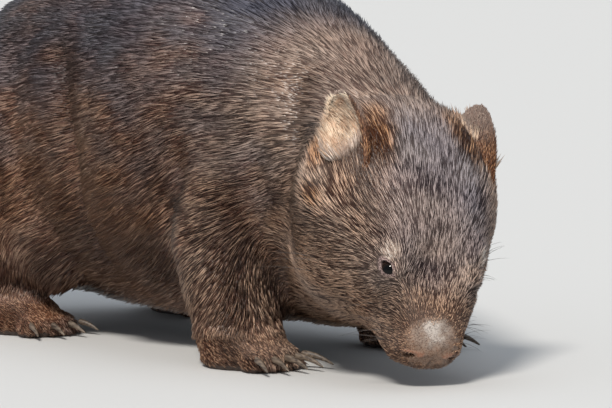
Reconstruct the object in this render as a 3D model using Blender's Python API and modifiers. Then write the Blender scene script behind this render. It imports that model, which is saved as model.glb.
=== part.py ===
"""A grown bare-nosed wombat grazing with its head down and turned to its right, at life size.

The body is modelled as one blended form and then parted into its named nodes by thin cuts.
Units are metres, +X is forwards along the body, +Y is the animal's left and +Z is up.
"""

import math

import bmesh
import bpy
import numpy as np
from mathutils import Euler, Matrix, Vector
from mathutils.bvhtree import BVHTree

# Gap that neighbouring pieces keep, and the sizes of the blended form's mesh
GAP = 0.0003
VOXEL = 0.004
LIGHT_SMOOTHING = 4
BODY_SMOOTHING = 24
BODY_SHARE_KEPT = 0.0450
RING_POINTS = 36
STATION_STEPS = 5

# Trunk and neck stations: along X, across Y, level of the widest point, half width, back, belly
TRUNK_STATIONS = [
    (-0.342, 0.000, 0.190, 0.024, 0.218, 0.156),
    (-0.325, 0.000, 0.190, 0.070, 0.256, 0.112),
    (-0.278, 0.000, 0.190, 0.110, 0.303, 0.066),
    (-0.195, 0.000, 0.188, 0.134, 0.344, 0.038),
    (-0.090, 0.000, 0.186, 0.147, 0.367, 0.026),
    (-0.010, 0.000, 0.180, 0.150, 0.365, 0.022),
    (0.060, 0.000, 0.178, 0.158, 0.354, 0.022),
    (0.125, -0.004, 0.178, 0.142, 0.338, 0.027),
    (0.200, -0.012, 0.176, 0.115, 0.306, 0.031),
    (0.265, -0.022, 0.170, 0.094, 0.274, 0.034),
    (0.325, -0.042, 0.155, 0.083, 0.242, 0.042),
]
TRUNK_SQUARENESS = 2.15
# Swellings of the trunk on both sides: place, radii
TRUNK_SWELLINGS = {
    "haunch": ((-0.150, 0.090, 0.168), (0.105, 0.074, 0.128)),
    "knee": ((-0.095, 0.104, 0.098), (0.066, 0.046, 0.058)),
}

# Head: the frame's origin is midway between the eyes, +X runs to the nose and +Z to the crown
EYES_MIDDLE = Vector((0.420, -0.065, 0.098))
HEAD_TURN = math.radians(-18.5)
HEAD_NOD = math.radians(46.5)
HEAD_TILT = math.radians(-10.0)
# Head stations: along X, half width, level of the widest point, rise above it, drop below it
HEAD_STATIONS = [
    (0.063, 0.013, -0.045, 0.009, 0.008),
    (0.059, 0.024, -0.044, 0.015, 0.014),
    (0.050, 0.032, -0.041, 0.021, 0.021),
    (0.036, 0.037, -0.037, 0.029, 0.031),
    (0.020, 0.045, -0.031, 0.038, 0.042),
    (0.003, 0.051, -0.028, 0.047, 0.055),
    (-0.020, 0.062, -0.026, 0.060, 0.069),
    (-0.055, 0.080, -0.025, 0.072, 0.088),
    (-0.090, 0.089, -0.025, 0.079, 0.099),
    (-0.125, 0.086, -0.025, 0.081, 0.100),
    (-0.155, 0.074, -0.025, 0.075, 0.092),
]
HEAD_SQUARENESS = 2.4
FACE_REACH = 0.092
# Swellings of the head in its frame, those off the middle on both sides: place, radii
HEAD_SWELLINGS = {
    "brow": ((-0.021, 0.035, 0.008), (0.026, 0.016, 0.018)),
    "jowl": ((-0.072, 0.040, -0.046), (0.070, 0.048, 0.062)),
    "lip": ((0.037, 0.016, -0.053), (0.021, 0.018, 0.013)),
    "nose_wing": ((0.046, 0.0165, -0.042), (0.013, 0.0115, 0.012)),
    "chin": ((0.026, 0.000, -0.065), (0.024, 0.022, 0.012)),
}

# Nose pad: the front of the muzzle inside this ellipsoid, with a nostril at each side
NOSE_CENTRE = (0.052, 0.000, -0.032)
NOSE_RADII = (0.023, 0.0285, 0.0245)
NOSE_TIP_UP = math.radians(38)
NOSTRIL_PLACE = (0.0565, 0.0195, -0.0410)
NOSTRIL_RADII = (0.0095, 0.0075, 0.0038)
NOSTRIL_SPLAY = math.radians(42)
NOSTRIL_SLANT = math.radians(-24)
GROOVE_PLACE = (0.0625, 0.000, -0.048)
GROOVE_RADII = (0.0040, 0.0011, 0.0090)

# Mouth: the line of the lips is swept round this place, from corner to corner
MOUTH_CENTRE = (0.018, 0.000, -0.0565)
MOUTH_SWEEP = math.radians(98)
MOUTH_WAVE = 0.055
MOUTH_POINTS = 25
MOUTH_DEPTH = 0.0016

# Eye: centre of the left ball, the way it looks, its radius, and the lids' thickness and almond
EYE_CENTRE = (-0.0010, 0.0372, -0.0035)
EYE_LOOK = Vector((0.50, 0.75, 0.43)).normalized()
EYE_RADIUS = 0.0105
LID_THICKNESS = 0.0017
LID_SPREAD = (1.30, 1.12, 1.00)
LID_OPENING = (0.0078, 0.0044)
LID_POINTS = 16
EYE_SLOPE = Vector((1.0, 0.0, -0.25))

# Ears, as for the left side: root in the head's frame, the ways it opens and leans, and its size
EAR_ROOTS = {"right": (-0.0899, 0.0691, 0.0156), "left": (-0.096, 0.067, 0.008)}
EAR_OPENS = {"right": (0.175, 0.971, 0.160), "left": (-0.50, 0.86, 0.02)}
EAR_LEANS = {"right": (-0.838, 0.094, 0.537), "left": (-1.20, -0.05, 1.00)}
EAR_HEIGHT = 0.070
EAR_SUNK = 0.020
EAR_HALF_WIDTH = 0.0265
EAR_CUP = 0.019
EAR_THICKNESS = 0.0055
EAR_HOLLOW = (0.0050, -0.0005, 0.0420)
EAR_HOLLOW_RADII = (0.0225, 0.0180, 0.0310)
EAR_COLUMNS = 9
EAR_ROWS = 10

# Middle of each foot on the floor
FOOT_PLACES = {
    ("fore", "right"): (0.212, -0.108),
    ("fore", "left"): (0.172, 0.104),
    ("hind", "right"): (-0.140, -0.118),
    ("hind", "left"): (-0.185, 0.118),
}
# Leg stations from the body down: forwards and inwards of the foot, height, fore-aft and side radius
LEG_STATIONS = {
    "fore": [
        (-0.020, 0.045, 0.245, 0.068, 0.046),
        (-0.030, 0.022, 0.180, 0.070, 0.050),
        (-0.034, 0.006, 0.120, 0.060, 0.047),
        (-0.022, 0.000, 0.075, 0.048, 0.043),
        (-0.010, 0.000, 0.040, 0.041, 0.040),
        (-0.006, 0.000, 0.018, 0.038, 0.038),
    ],
    "hind": [
        (-0.030, 0.050, 0.255, 0.085, 0.050),
        (-0.020, 0.018, 0.190, 0.098, 0.056),
        (-0.012, 0.004, 0.125, 0.082, 0.052),
        (-0.022, 0.000, 0.075, 0.058, 0.044),
        (-0.032, 0.000, 0.036, 0.040, 0.038),
        (-0.032, 0.000, 0.015, 0.034, 0.036),
    ],
}
FOOT_RADII = {"fore": (0.042, 0.038, 0.026), "hind": (0.054, 0.036, 0.026)}
FOOT_HEIGHT = 0.016
ANKLE_LEVEL = {"fore": 0.042, "hind": 0.040}
TOE_COUNT = {"fore": 5, "hind": 4}
TOE_FAN = math.radians(31)
TOE_RADII = (0.018, 0.0098, 0.0112)
TOE_HEIGHT = 0.0108
FOOT_TURN = math.radians(6)

# Claws: length beyond the toe's middle, thickness at the root, rise and fall of their arch
CLAW_LENGTH = {"fore": 0.040, "hind": 0.036}
CLAW_RADIUS = 0.0048
CLAW_RISE = 0.010
CLAW_FALL = 0.0165

# Tail: a stub low on the rump
TAIL_ROOT = (-0.322, 0.0, 0.146)
TAIL_TIP = (-0.344, 0.0, 0.130)
TAIL_RADIUS = 0.0115

# Cuts: the head's in its own frame, the neck's by a place and a direction in the body's frame
HEAD_CUT = -0.150
NECK_CUT_PLACE = (0.262, -0.020, 0.180)
NECK_CUT_AIM = Vector((0.90, -0.16, -0.34)).normalized()
LEG_CUT_RADII = {"fore": (0.082, 0.098, 0.195), "hind": (0.105, 0.100, 0.205)}
LEG_CUT_AHEAD = {"fore": -0.022, "hind": -0.020}
LEG_CUT_OUTWARD = 0.030

SIDES = {"right": -1.0, "left": 1.0}
COLOURS = {
    "coat": (0.075, 0.048, 0.038, 1.0),
    "ear": (0.190, 0.105, 0.065, 1.0),
    "nose_skin": (0.120, 0.075, 0.060, 1.0),
    "eye": (0.010, 0.007, 0.006, 1.0),
    "claw": (0.085, 0.065, 0.050, 1.0),
}
ROUGHNESS = {"coat": 0.75, "ear": 0.70, "nose_skin": 0.45, "eye": 0.08, "claw": 0.40}


def clear_scene():
    for obj in list(bpy.data.objects):
        bpy.data.objects.remove(obj, do_unlink=True)


def new_collection(name):
    made = bpy.data.collections.new(name)
    bpy.context.scene.collection.children.link(made)
    return made


def base_material(name):
    """The base colour of one kind of surface."""
    made = bpy.data.materials.new(name)
    made.use_nodes = True
    kind = name.split("_of_")[0]
    shader = made.node_tree.nodes["Principled BSDF"]
    shader.inputs["Base Color"].default_value = COLOURS[kind]
    shader.inputs["Roughness"].default_value = ROUGHNESS[kind]
    shader.inputs["Metallic"].default_value = 0.0
    return made


def new_object(name, mesh, collection):
    obj = bpy.data.objects.new(name, mesh)
    collection.objects.link(obj)
    return obj


def discard(*objs):
    for obj in objs:
        bpy.data.objects.remove(obj, do_unlink=True)


def smooth_rows(stations, steps=STATION_STEPS):
    """Rows on a smooth curve through the stations, which are rows of numbers."""
    rows = np.array(stations, float)
    ends = np.vstack([2 * rows[0] - rows[1], rows, 2 * rows[-1] - rows[-2]])
    found = []
    for a, b, c, d in zip(ends, ends[1:], ends[2:], ends[3:]):
        for t in np.arange(steps) / steps:
            cubic = -a + 3 * b - 3 * c + d
            square = 2 * a - 5 * b + 4 * c - d
            found.append(0.5 * (2 * b + (c - a) * t + square * t**2 + cubic * t**3))
    return found + [rows[-1]]


def ring(centre, side, up, half_width, rise, drop, squareness, count=RING_POINTS):
    """Points round one section: a rounded square that may rise and drop by different amounts."""
    points = []
    power = 2 / squareness
    for i in range(count):
        angle = 2 * math.pi * i / count
        across, high = math.cos(angle), math.sin(angle)
        reach = rise if high > 0 else drop
        across = math.copysign(abs(across) ** power, across) * half_width
        high = math.copysign(abs(high) ** power, high) * reach
        points.append(Vector(centre) + Vector(side) * across + Vector(up) * high)
    return points


def loft(name, rings, collection):
    """A closed tube through rings of equal count, with flat ends."""
    mesh = bpy.data.meshes.new(name)
    bm = bmesh.new()
    loops = [[bm.verts.new(p) for p in points] for points in rings]
    for first, second in zip(loops, loops[1:]):
        for i in range(len(first)):
            j = (i + 1) % len(first)
            bm.faces.new((first[i], first[j], second[j], second[i]))
    bm.faces.new(loops[0])
    bm.faces.new(loops[-1])
    bmesh.ops.recalc_face_normals(bm, faces=bm.faces)
    bm.to_mesh(mesh)
    bm.free()
    return new_object(name, mesh, collection)


def placed(name, bm, matrix, collection):
    """An object from a bmesh that is moved into place."""
    bmesh.ops.transform(bm, matrix=matrix, verts=bm.verts)
    bmesh.ops.recalc_face_normals(bm, faces=bm.faces)
    mesh = bpy.data.meshes.new(name)
    bm.to_mesh(mesh)
    bm.free()
    return new_object(name, mesh, collection)


def ellipsoid(name, place, radii, collection, turn=None, segments=24):
    """A sphere scaled to three radii, then turned and moved."""
    bm = bmesh.new()
    bmesh.ops.create_uvsphere(bm, u_segments=segments, v_segments=segments // 2, radius=1.0)
    turned = turn.to_4x4() if turn is not None else Matrix.Identity(4)
    matrix = Matrix.Translation(Vector(place)) @ turned @ Matrix.Diagonal((*radii, 1.0))
    return placed(name, bm, matrix, collection)


def half_space(name, place, aim, collection, reach=1.0):
    """A large box that holds everything beyond a plane."""
    bm = bmesh.new()
    bmesh.ops.create_cube(bm, size=2 * reach)
    turn = Vector((0, 0, 1)).rotation_difference(Vector(aim)).to_matrix().to_4x4()
    matrix = Matrix.Translation(Vector(place)) @ turn @ Matrix.Translation((0, 0, reach))
    return placed(name, bm, matrix, collection)


def baked(obj):
    """Replaces the object's mesh with what its modifiers make of it."""
    graph = bpy.context.evaluated_depsgraph_get()
    graph.update()
    mesh = bpy.data.meshes.new_from_object(obj.evaluated_get(graph))
    old = obj.data
    obj.modifiers.clear()
    obj.data = mesh
    bpy.data.meshes.remove(old)
    return obj


def largest_surface(obj):
    """Keeps only the closed surface with the most points."""
    bm = bmesh.new()
    bm.from_mesh(obj.data)
    left = set(bm.verts)
    islands = []
    while left:
        island, edge = set(), {left.pop()}
        while edge:
            island |= edge
            edge = {e.other_vert(v) for v in edge for e in v.link_edges} - island
        left -= island
        islands.append(island)
    keep = max(islands, key=len)
    bmesh.ops.delete(bm, geom=[v for v in bm.verts if v not in keep], context="VERTS")
    bm.to_mesh(obj.data)
    bm.free()
    return obj


def boolean(obj, other, operation):
    """Cuts, joins or trims with EXACT, applies it and keeps the largest surface."""
    change = obj.modifiers.new(operation.lower(), "BOOLEAN")
    change.operation = operation
    change.solver = "EXACT"
    change.object = other
    return largest_surface(baked(obj))


def copy_of(obj, name, collection):
    return new_object(name, obj.data.copy(), collection)


def grown_copy(obj, collection, amount=GAP):
    """A copy whose surface stands out by the gap, used to trim a neighbour."""
    grown = copy_of(obj, obj.name + "_grown", collection)
    push = grown.modifiers.new("grow", "DISPLACE")
    push.strength = amount
    push.mid_level = 0.0
    return baked(grown)


def joined(objs, name, collection):
    """One object that holds the meshes of all, which are removed."""
    bm = bmesh.new()
    for obj in objs:
        bm.from_mesh(obj.data)
    mesh = bpy.data.meshes.new(name)
    bm.to_mesh(mesh)
    bm.free()
    discard(*objs)
    return new_object(name, mesh, collection)


def part_off(whole, cutter, gap_cutter, name, collection):
    """Takes what lies inside the cutter as its own piece and leaves a gap behind it."""
    piece = boolean(copy_of(whole, name, collection), cutter, "INTERSECT")
    boolean(whole, gap_cutter, "DIFFERENCE")
    discard(cutter, gap_cutter)
    return piece


def head_matrix():
    turn = Euler((HEAD_TILT, HEAD_NOD, HEAD_TURN), "XYZ").to_matrix().to_4x4()
    return Matrix.Translation(EYES_MIDDLE) @ turn


def on_side(place, side):
    """A place given for the left side, mirrored to the right one if asked."""
    return Vector((place[0], place[1] * SIDES[side], place[2]))


def trunk_shape(collection):
    rows = smooth_rows(TRUNK_STATIONS)
    rings = []
    for i, (x, y, level, half_width, back, belly) in enumerate(rows):
        before, after = rows[max(i - 1, 0)], rows[min(i + 1, len(rows) - 1)]
        bend = math.atan2(after[1] - before[1], after[0] - before[0])
        side = (-math.sin(bend), math.cos(bend), 0)
        sizes = (half_width, back - level, level - belly)
        rings.append(ring((x, y, level), side, (0, 0, 1), *sizes, TRUNK_SQUARENESS))
    return loft("trunk_shape", rings, collection)


def head_shape(collection):
    frame = head_matrix()
    side, up = frame.to_3x3().col[1], frame.to_3x3().col[2]
    rings = []
    for x, half_width, level, rise, drop in smooth_rows(HEAD_STATIONS):
        centre = frame @ Vector((x, 0, level))
        rings.append(ring(centre, side, up, half_width, rise, drop, HEAD_SQUARENESS))
    return loft("head_shape", rings, collection)


def trunk_swellings(collection):
    made = []
    for name, (place, radii) in TRUNK_SWELLINGS.items():
        for side in SIDES:
            made.append(ellipsoid(f"{name}_{side}_shape", on_side(place, side), radii, collection))
    return made


def head_swellings(collection):
    frame = head_matrix()
    made = []
    for name, (place, radii) in HEAD_SWELLINGS.items():
        for side in SIDES if place[1] else ["left"]:
            centre = frame @ on_side(place, side)
            made.append(ellipsoid(f"{name}_{side}_shape", centre, radii, collection, frame.to_3x3()))
    return made


def leg_shape(end, side, collection):
    """A leg from inside the body down to the foot, as a tube of oval sections."""
    foot_x, foot_y = FOOT_PLACES[end, side]
    rings = []
    for ahead, inward, height, fore_aft, across in smooth_rows(LEG_STATIONS[end]):
        centre = (foot_x + ahead, foot_y - inward * SIDES[side], height)
        rings.append(ring(centre, (0, 1, 0), (1, 0, 0), across, fore_aft, fore_aft, 2.0, 24))
    return loft(f"{end}_{side}_leg_shape", rings, collection)


def toe_angles(end):
    """The direction of each toe, fanned about straight ahead."""
    count = TOE_COUNT[end]
    return [TOE_FAN * (2 * i / (count - 1) - 1) for i in range(count)]


def foot_matrix(end, side):
    """The frame of a foot: its middle on the floor, turned a little inwards."""
    foot_x, foot_y = FOOT_PLACES[end, side]
    turn = Euler((0, 0, -FOOT_TURN * SIDES[side])).to_matrix().to_4x4()
    return Matrix.Translation((foot_x, foot_y, 0)) @ turn


def toe_matrix(end, side, angle):
    """The frame of a toe: its middle, with +X the way it points."""
    length, width, _ = FOOT_RADII[end]
    place = Vector((length * math.cos(angle), 1.30 * width * math.sin(angle), TOE_HEIGHT))
    turn = Euler((0, 0, angle * 0.7)).to_matrix().to_4x4()
    return foot_matrix(end, side) @ Matrix.Translation(place) @ turn


def foot_shapes(end, side, collection):
    frame = foot_matrix(end, side)
    middle = frame @ Vector((0, 0, FOOT_HEIGHT))
    radii = FOOT_RADII[end]
    made = [ellipsoid(f"{end}_{side}_foot_shape", middle, radii, collection, frame.to_3x3())]
    for number, angle in enumerate(toe_angles(end), 1):
        toe = toe_matrix(end, side, angle)
        name = f"{end}_{side}_toe_{number}_shape"
        made.append(ellipsoid(name, toe.translation, TOE_RADII, collection, toe.to_3x3(), 16))
    return made


def cut_level_with_floor(obj):
    """Gives the feet their flats: what is below the floor goes, and the cut is closed."""
    bm = bmesh.new()
    bm.from_mesh(obj.data)
    geometry = bm.verts[:] + bm.edges[:] + bm.faces[:]
    bmesh.ops.bisect_plane(bm, geom=geometry, plane_co=(0, 0, 0), plane_no=(0, 0, -1), clear_outer=True)
    bmesh.ops.holes_fill(bm, edges=[e for e in bm.edges if e.is_boundary], sides=0)
    bm.to_mesh(obj.data)
    bm.free()
    return obj


def body_group(obj):
    """A vertex group that is full on the trunk and fades out on the head and the feet."""
    group = obj.vertex_groups.new(name="body")
    for vertex in obj.data.vertices:
        behind_face = ((vertex.co - EYES_MIDDLE).length - FACE_REACH) / 0.05
        above_foot = (vertex.co.z - 0.035) / 0.03
        weight = min(max(min(behind_face, above_foot), 0.0), 1.0)
        group.add([vertex.index], weight, "REPLACE")
    return group.name


def plainness_group(obj):
    """A vertex group that lets the trunk be thinned more than the face and the feet."""
    group = obj.vertex_groups.new(name="plain")
    for vertex in obj.data.vertices:
        beyond_face = (vertex.co - EYES_MIDDLE).length - FACE_REACH
        above_foot = vertex.co.z - ANKLE_LEVEL["fore"]
        plain = min(0.6 + 3.0 * max(beyond_face, 0.0), 0.75 + 5.0 * max(above_foot, 0.0), 0.95)
        group.add([vertex.index], plain, "REPLACE")
    return group.name


def whole_body(collection):
    """Trunk, neck, head, legs and feet blended into one closed form."""
    shapes = [trunk_shape(collection), *trunk_swellings(collection)]
    shapes += [head_shape(collection), *head_swellings(collection)]
    for end, side in FOOT_PLACES:
        shapes.append(leg_shape(end, side, collection))
        shapes += foot_shapes(end, side, collection)
    body = joined(shapes, "torso", collection)
    blend = body.modifiers.new("blend", "REMESH")
    blend.mode = "VOXEL"
    blend.voxel_size = VOXEL
    body = largest_surface(baked(body))
    ease = body.modifiers.new("ease", "SMOOTH")
    ease.factor = 0.5
    ease.iterations = LIGHT_SMOOTHING
    settle = body.modifiers.new("settle", "SMOOTH")
    settle.factor = 0.5
    settle.iterations = BODY_SMOOTHING
    settle.vertex_group = body_group(body)
    thin = body.modifiers.new("thin", "DECIMATE")
    thin.ratio = BODY_SHARE_KEPT
    thin.vertex_group = plainness_group(body)
    thin.vertex_group_factor = 1.0
    body = largest_surface(baked(body))
    body.vertex_groups.clear()
    return cut_level_with_floor(body)


def part_feet_and_legs(torso, collection, cutters):
    """Each leg comes off inside an egg-shaped cut, and each foot off its leg by a level one."""
    for (end, side), (foot_x, foot_y) in FOOT_PLACES.items():
        outward = SIDES[side] * LEG_CUT_OUTWARD
        centre = (foot_x + LEG_CUT_AHEAD[end], foot_y + outward, 0.0)
        radii = LEG_CUT_RADII[end]
        wider = [r + GAP for r in radii]
        cut = ellipsoid("leg_cut", centre, radii, cutters, segments=32)
        gap_cut = ellipsoid("leg_gap", centre, wider, cutters, segments=32)
        leg = part_off(torso, cut, gap_cut, f"{end}_leg_{side}", collection)
        level = ANKLE_LEVEL[end]
        above = half_space("above", (0, 0, level), (0, 0, -1), cutters)
        above_gap = half_space("above_gap", (0, 0, level + GAP), (0, 0, -1), cutters)
        part_off(leg, above, above_gap, f"{end}_foot_{side}", collection)


def part_head_and_neck(torso, collection, cutters):
    frame = head_matrix()
    aim = frame.to_3x3().col[0]
    head_cut = half_space("head_cut", frame @ Vector((HEAD_CUT, 0, 0)), aim, cutters, 0.30)
    head_gap = half_space("head_gap", frame @ Vector((HEAD_CUT - GAP, 0, 0)), aim, cutters, 0.30)
    head = part_off(torso, head_cut, head_gap, "head", collection)
    place = Vector(NECK_CUT_PLACE)
    neck_cut = half_space("neck_cut", place, NECK_CUT_AIM, cutters, 0.30)
    neck_gap = half_space("neck_gap", place - NECK_CUT_AIM * GAP, NECK_CUT_AIM, cutters, 0.30)
    neck = part_off(torso, neck_cut, neck_gap, "neck", collection)
    return head, neck


def eye_frame(side):
    """The frame of an eye: +Z is the way it looks and +X runs to the tear duct."""
    look = on_side(EYE_LOOK, side)
    along = (EYE_SLOPE - look * EYE_SLOPE.dot(look)).normalized()
    turn = Matrix((along, look.cross(along), look)).transposed().to_4x4()
    return head_matrix() @ Matrix.Translation(on_side(EYE_CENTRE, side)) @ turn


def almond(name, side, collection):
    """A cutter with the outline of the open lids, which runs outwards from inside the eyeball."""
    frame = eye_frame(side)
    long, high = LID_OPENING
    rings = []
    for depth in (0.0, 3 * EYE_RADIUS):
        points = []
        for i in range(LID_POINTS):
            angle = 2 * math.pi * i / LID_POINTS
            narrow = math.copysign(abs(math.sin(angle)) ** 1.25, math.sin(angle))
            points.append(frame @ Vector((long * math.cos(angle), high * narrow, depth)))
        rings.append(points)
    return loft(name, rings, collection)


def add_eyes(head, collection, cutters):
    """Lids that follow each eyeball, open in an almond, and the ball in its socket."""
    for side in SIDES:
        frame = eye_frame(side)
        radii = [EYE_RADIUS * share + LID_THICKNESS for share in LID_SPREAD]
        lids = ellipsoid("lids", frame.translation, radii, cutters, frame.to_3x3(), 18)
        boolean(head, lids, "UNION")
        opening = almond("opening", side, cutters)
        boolean(head, opening, "DIFFERENCE")
        room = (EYE_RADIUS + GAP,) * 3
        socket = ellipsoid("socket", frame.translation, room, cutters, frame.to_3x3(), 20)
        boolean(head, socket, "DIFFERENCE")
        discard(lids, opening, socket)
        ball = (EYE_RADIUS,) * 3
        ellipsoid(f"eye_{side}", frame.translation, ball, collection, frame.to_3x3(), 20)


def cut_mouth(head, cutters):
    """The line of the lips: a rod laid round the muzzle, high in the middle, cuts it as a groove."""
    frame = head_matrix()
    up = frame.to_3x3().col[2]
    centre = Vector(MOUTH_CENTRE)
    tree = BVHTree.FromObject(head, bpy.context.evaluated_depsgraph_get())
    points = []
    for share in np.linspace(-1, 1, MOUTH_POINTS):
        angle = MOUTH_SWEEP * share
        aim = Vector((math.cos(angle), math.sin(angle), MOUTH_WAVE * math.cos(angle * 3)))
        start = frame @ (centre + aim * 0.2)
        points.append(tree.ray_cast(start, frame @ centre - start)[0])
    rings = []
    for i, point in enumerate(points):
        along = (points[min(i + 1, len(points) - 1)] - points[max(i - 1, 0)]).normalized()
        side = along.cross(up).normalized()
        rings.append(ring(point, side, up, MOUTH_DEPTH, MOUTH_DEPTH, MOUTH_DEPTH, 2.0, 8))
    line = loft("mouth_line", rings, cutters)
    boolean(head, line, "DIFFERENCE")
    discard(line)


def add_nose(head, collection, cutters):
    """The bare pad comes off the front of the muzzle, then takes its nostrils and its middle groove."""
    frame = head_matrix()
    turn = frame.to_3x3()
    centre = frame @ Vector(NOSE_CENTRE)
    raised = turn @ Euler((0, -NOSE_TIP_UP, 0)).to_matrix()
    cut = ellipsoid("nose_cut", centre, NOSE_RADII, cutters, raised, 16)
    gap_cut = ellipsoid("nose_gap", centre, [r + GAP for r in NOSE_RADII], cutters, raised, 16)
    nose = part_off(head, cut, gap_cut, "nose", collection)
    for side in SIDES:
        slant = Euler((NOSTRIL_SLANT * SIDES[side], 0, NOSTRIL_SPLAY * SIDES[side])).to_matrix()
        place = frame @ on_side(NOSTRIL_PLACE, side)
        nostril = ellipsoid("nostril", place, NOSTRIL_RADII, cutters, turn @ slant, 16)
        boolean(nose, nostril, "DIFFERENCE")
        discard(nostril)
    groove = ellipsoid("groove", frame @ Vector(GROOVE_PLACE), GROOVE_RADII, cutters, turn, 16)
    boolean(nose, groove, "DIFFERENCE")
    discard(groove)


def ear_frame(side):
    """The frame of an ear: +X is the way its cup opens and +Z runs up to its tip."""
    up = on_side(EAR_LEANS[side], side).normalized()
    opens = on_side(EAR_OPENS[side], side)
    opens = (opens - up * opens.dot(up)).normalized()
    turn = Matrix((opens, up.cross(opens), up)).transposed().to_4x4()
    return head_matrix() @ Matrix.Translation(on_side(EAR_ROOTS[side], side)) @ turn


def ear_shell(side, collection):
    """A rounded leaf bent into a cup, thickened and trimmed where it meets the head."""
    frame = ear_frame(side)
    bm = bmesh.new()
    bmesh.ops.create_grid(bm, x_segments=EAR_COLUMNS, y_segments=EAR_ROWS, size=1.0)
    for vert in bm.verts:
        across, share = vert.co.x, (vert.co.y + 1) / 2
        width = EAR_HALF_WIDTH * math.sqrt(max(1.0 - (abs(share - 0.42) / 0.585) ** 2.0, 0.02))
        height = share * (EAR_HEIGHT + EAR_SUNK) - EAR_SUNK
        bend = across * math.radians(72)
        deep = EAR_CUP * width / EAR_HALF_WIDTH
        vert.co = (-deep * math.cos(bend), width * math.sin(bend) / math.sin(math.radians(72)), height)
    ear = placed(f"ear_{side}", bm, frame, collection)
    thick = ear.modifiers.new("thickness", "SOLIDIFY")
    thick.thickness = EAR_THICKNESS
    thick.offset = 0.0
    round_off = ear.modifiers.new("round_off", "BEVEL")
    round_off.width = EAR_THICKNESS * 0.3
    round_off.segments = 1
    round_off.limit_method = "ANGLE"
    return baked(ear)


def add_ears(neighbours, collection, cutters):
    for side in SIDES:
        frame = ear_frame(side)
        hollow = ellipsoid("ear_hollow", frame @ Vector(EAR_HOLLOW), EAR_HOLLOW_RADII, cutters, frame.to_3x3(), 16)
        boolean(neighbours[0], hollow, "DIFFERENCE")
        discard(hollow)
        ear = ear_shell(side, collection)
        for neighbour in neighbours:
            room = grown_copy(neighbour, cutters)
            boolean(ear, room, "DIFFERENCE")
            discard(room)


def add_claws(collection, cutters):
    """Long curved claws that grow out of the front of every toe."""
    for end, side in FOOT_PLACES:
        foot = bpy.data.objects[f"{end}_foot_{side}"]
        room = grown_copy(foot, cutters)
        for number, angle in enumerate(toe_angles(end), 1):
            toe = toe_matrix(end, side, angle)
            rings = []
            for share in np.linspace(0.15, 1.0, 6):
                ahead = CLAW_LENGTH[end] * share
                high = CLAW_RISE * share - CLAW_FALL * share**2
                slope = (CLAW_RISE - 2 * CLAW_FALL * share) / CLAW_LENGTH[end]
                lean = Vector((-slope, 0, 1)).normalized()
                thick = CLAW_RADIUS * (1 - 0.80 * share**1.6)
                side_axis, up_axis = toe.to_3x3().col[1], toe.to_3x3() @ lean
                centre = toe @ Vector((ahead, 0, high))
                rings.append(ring(centre, side_axis, up_axis, thick * 0.8, thick, thick * 0.8, 2.0, 8))
            claw = loft(f"{end}_claw_{side}_{number}", rings, collection)
            boolean(claw, room, "DIFFERENCE")
        discard(room)


def add_tail(torso, collection, cutters):
    root, tip = Vector(TAIL_ROOT), Vector(TAIL_TIP)
    along = (tip - root).normalized()
    turn = Vector((0, 0, 1)).rotation_difference(along).to_matrix()
    radii = (TAIL_RADIUS, TAIL_RADIUS, (tip - root).length * 0.75)
    tail = ellipsoid("tail", (root + tip) / 2, radii, collection, turn, 20)
    room = grown_copy(torso, cutters)
    boolean(tail, room, "DIFFERENCE")
    discard(room)


def dress(obj):
    """Gives a node the material that its surface has."""
    kinds = {"ear": "ear", "nose": "nose_skin", "eye": "eye"}
    kind = "claw" if "_claw_" in obj.name else kinds.get(obj.name.split("_")[0], "coat")
    obj.data.materials.clear()
    obj.data.materials.append(base_material(f"{kind}_of_{obj.name}"))


def centre_on_floor(objs):
    """Moves the animal so that the origin is under the middle of its box, at floor level."""
    points = np.vstack([np.array([v.co for v in obj.data.vertices]) for obj in objs])
    low, high = points.min(axis=0), points.max(axis=0)
    shift = Vector((-(low[0] + high[0]) / 2, -(low[1] + high[1]) / 2, -low[2]))
    for obj in objs:
        obj.data.transform(Matrix.Translation(shift))


def main():
    clear_scene()
    wombat = new_collection("wombat")
    cutters = new_collection("cutters")
    torso = whole_body(wombat)
    part_feet_and_legs(torso, wombat, cutters)
    head, neck = part_head_and_neck(torso, wombat, cutters)
    add_nose(head, wombat, cutters)
    cut_mouth(head, cutters)
    add_eyes(head, wombat, cutters)
    add_ears([head, neck], wombat, cutters)
    add_claws(wombat, cutters)
    add_tail(torso, wombat, cutters)
    nodes = list(wombat.objects)
    for obj in nodes:
        dress(obj)
    centre_on_floor(nodes)


main()
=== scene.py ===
"""The looks of a life-size wombat that grazes with its head down and turned to its right.

One skin takes the place of the animal's flesh and lies a coat's depth inside it. The coat is made of
many small solid tufts that follow its lie. Eyes, claws, whiskers and the stage are pieces of their own.
"""

import math

import bpy
import numpy as np
from bpy.props import FloatProperty, FloatVectorProperty, IntProperty, PointerProperty
from mathutils import Euler, Matrix, Vector


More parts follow.
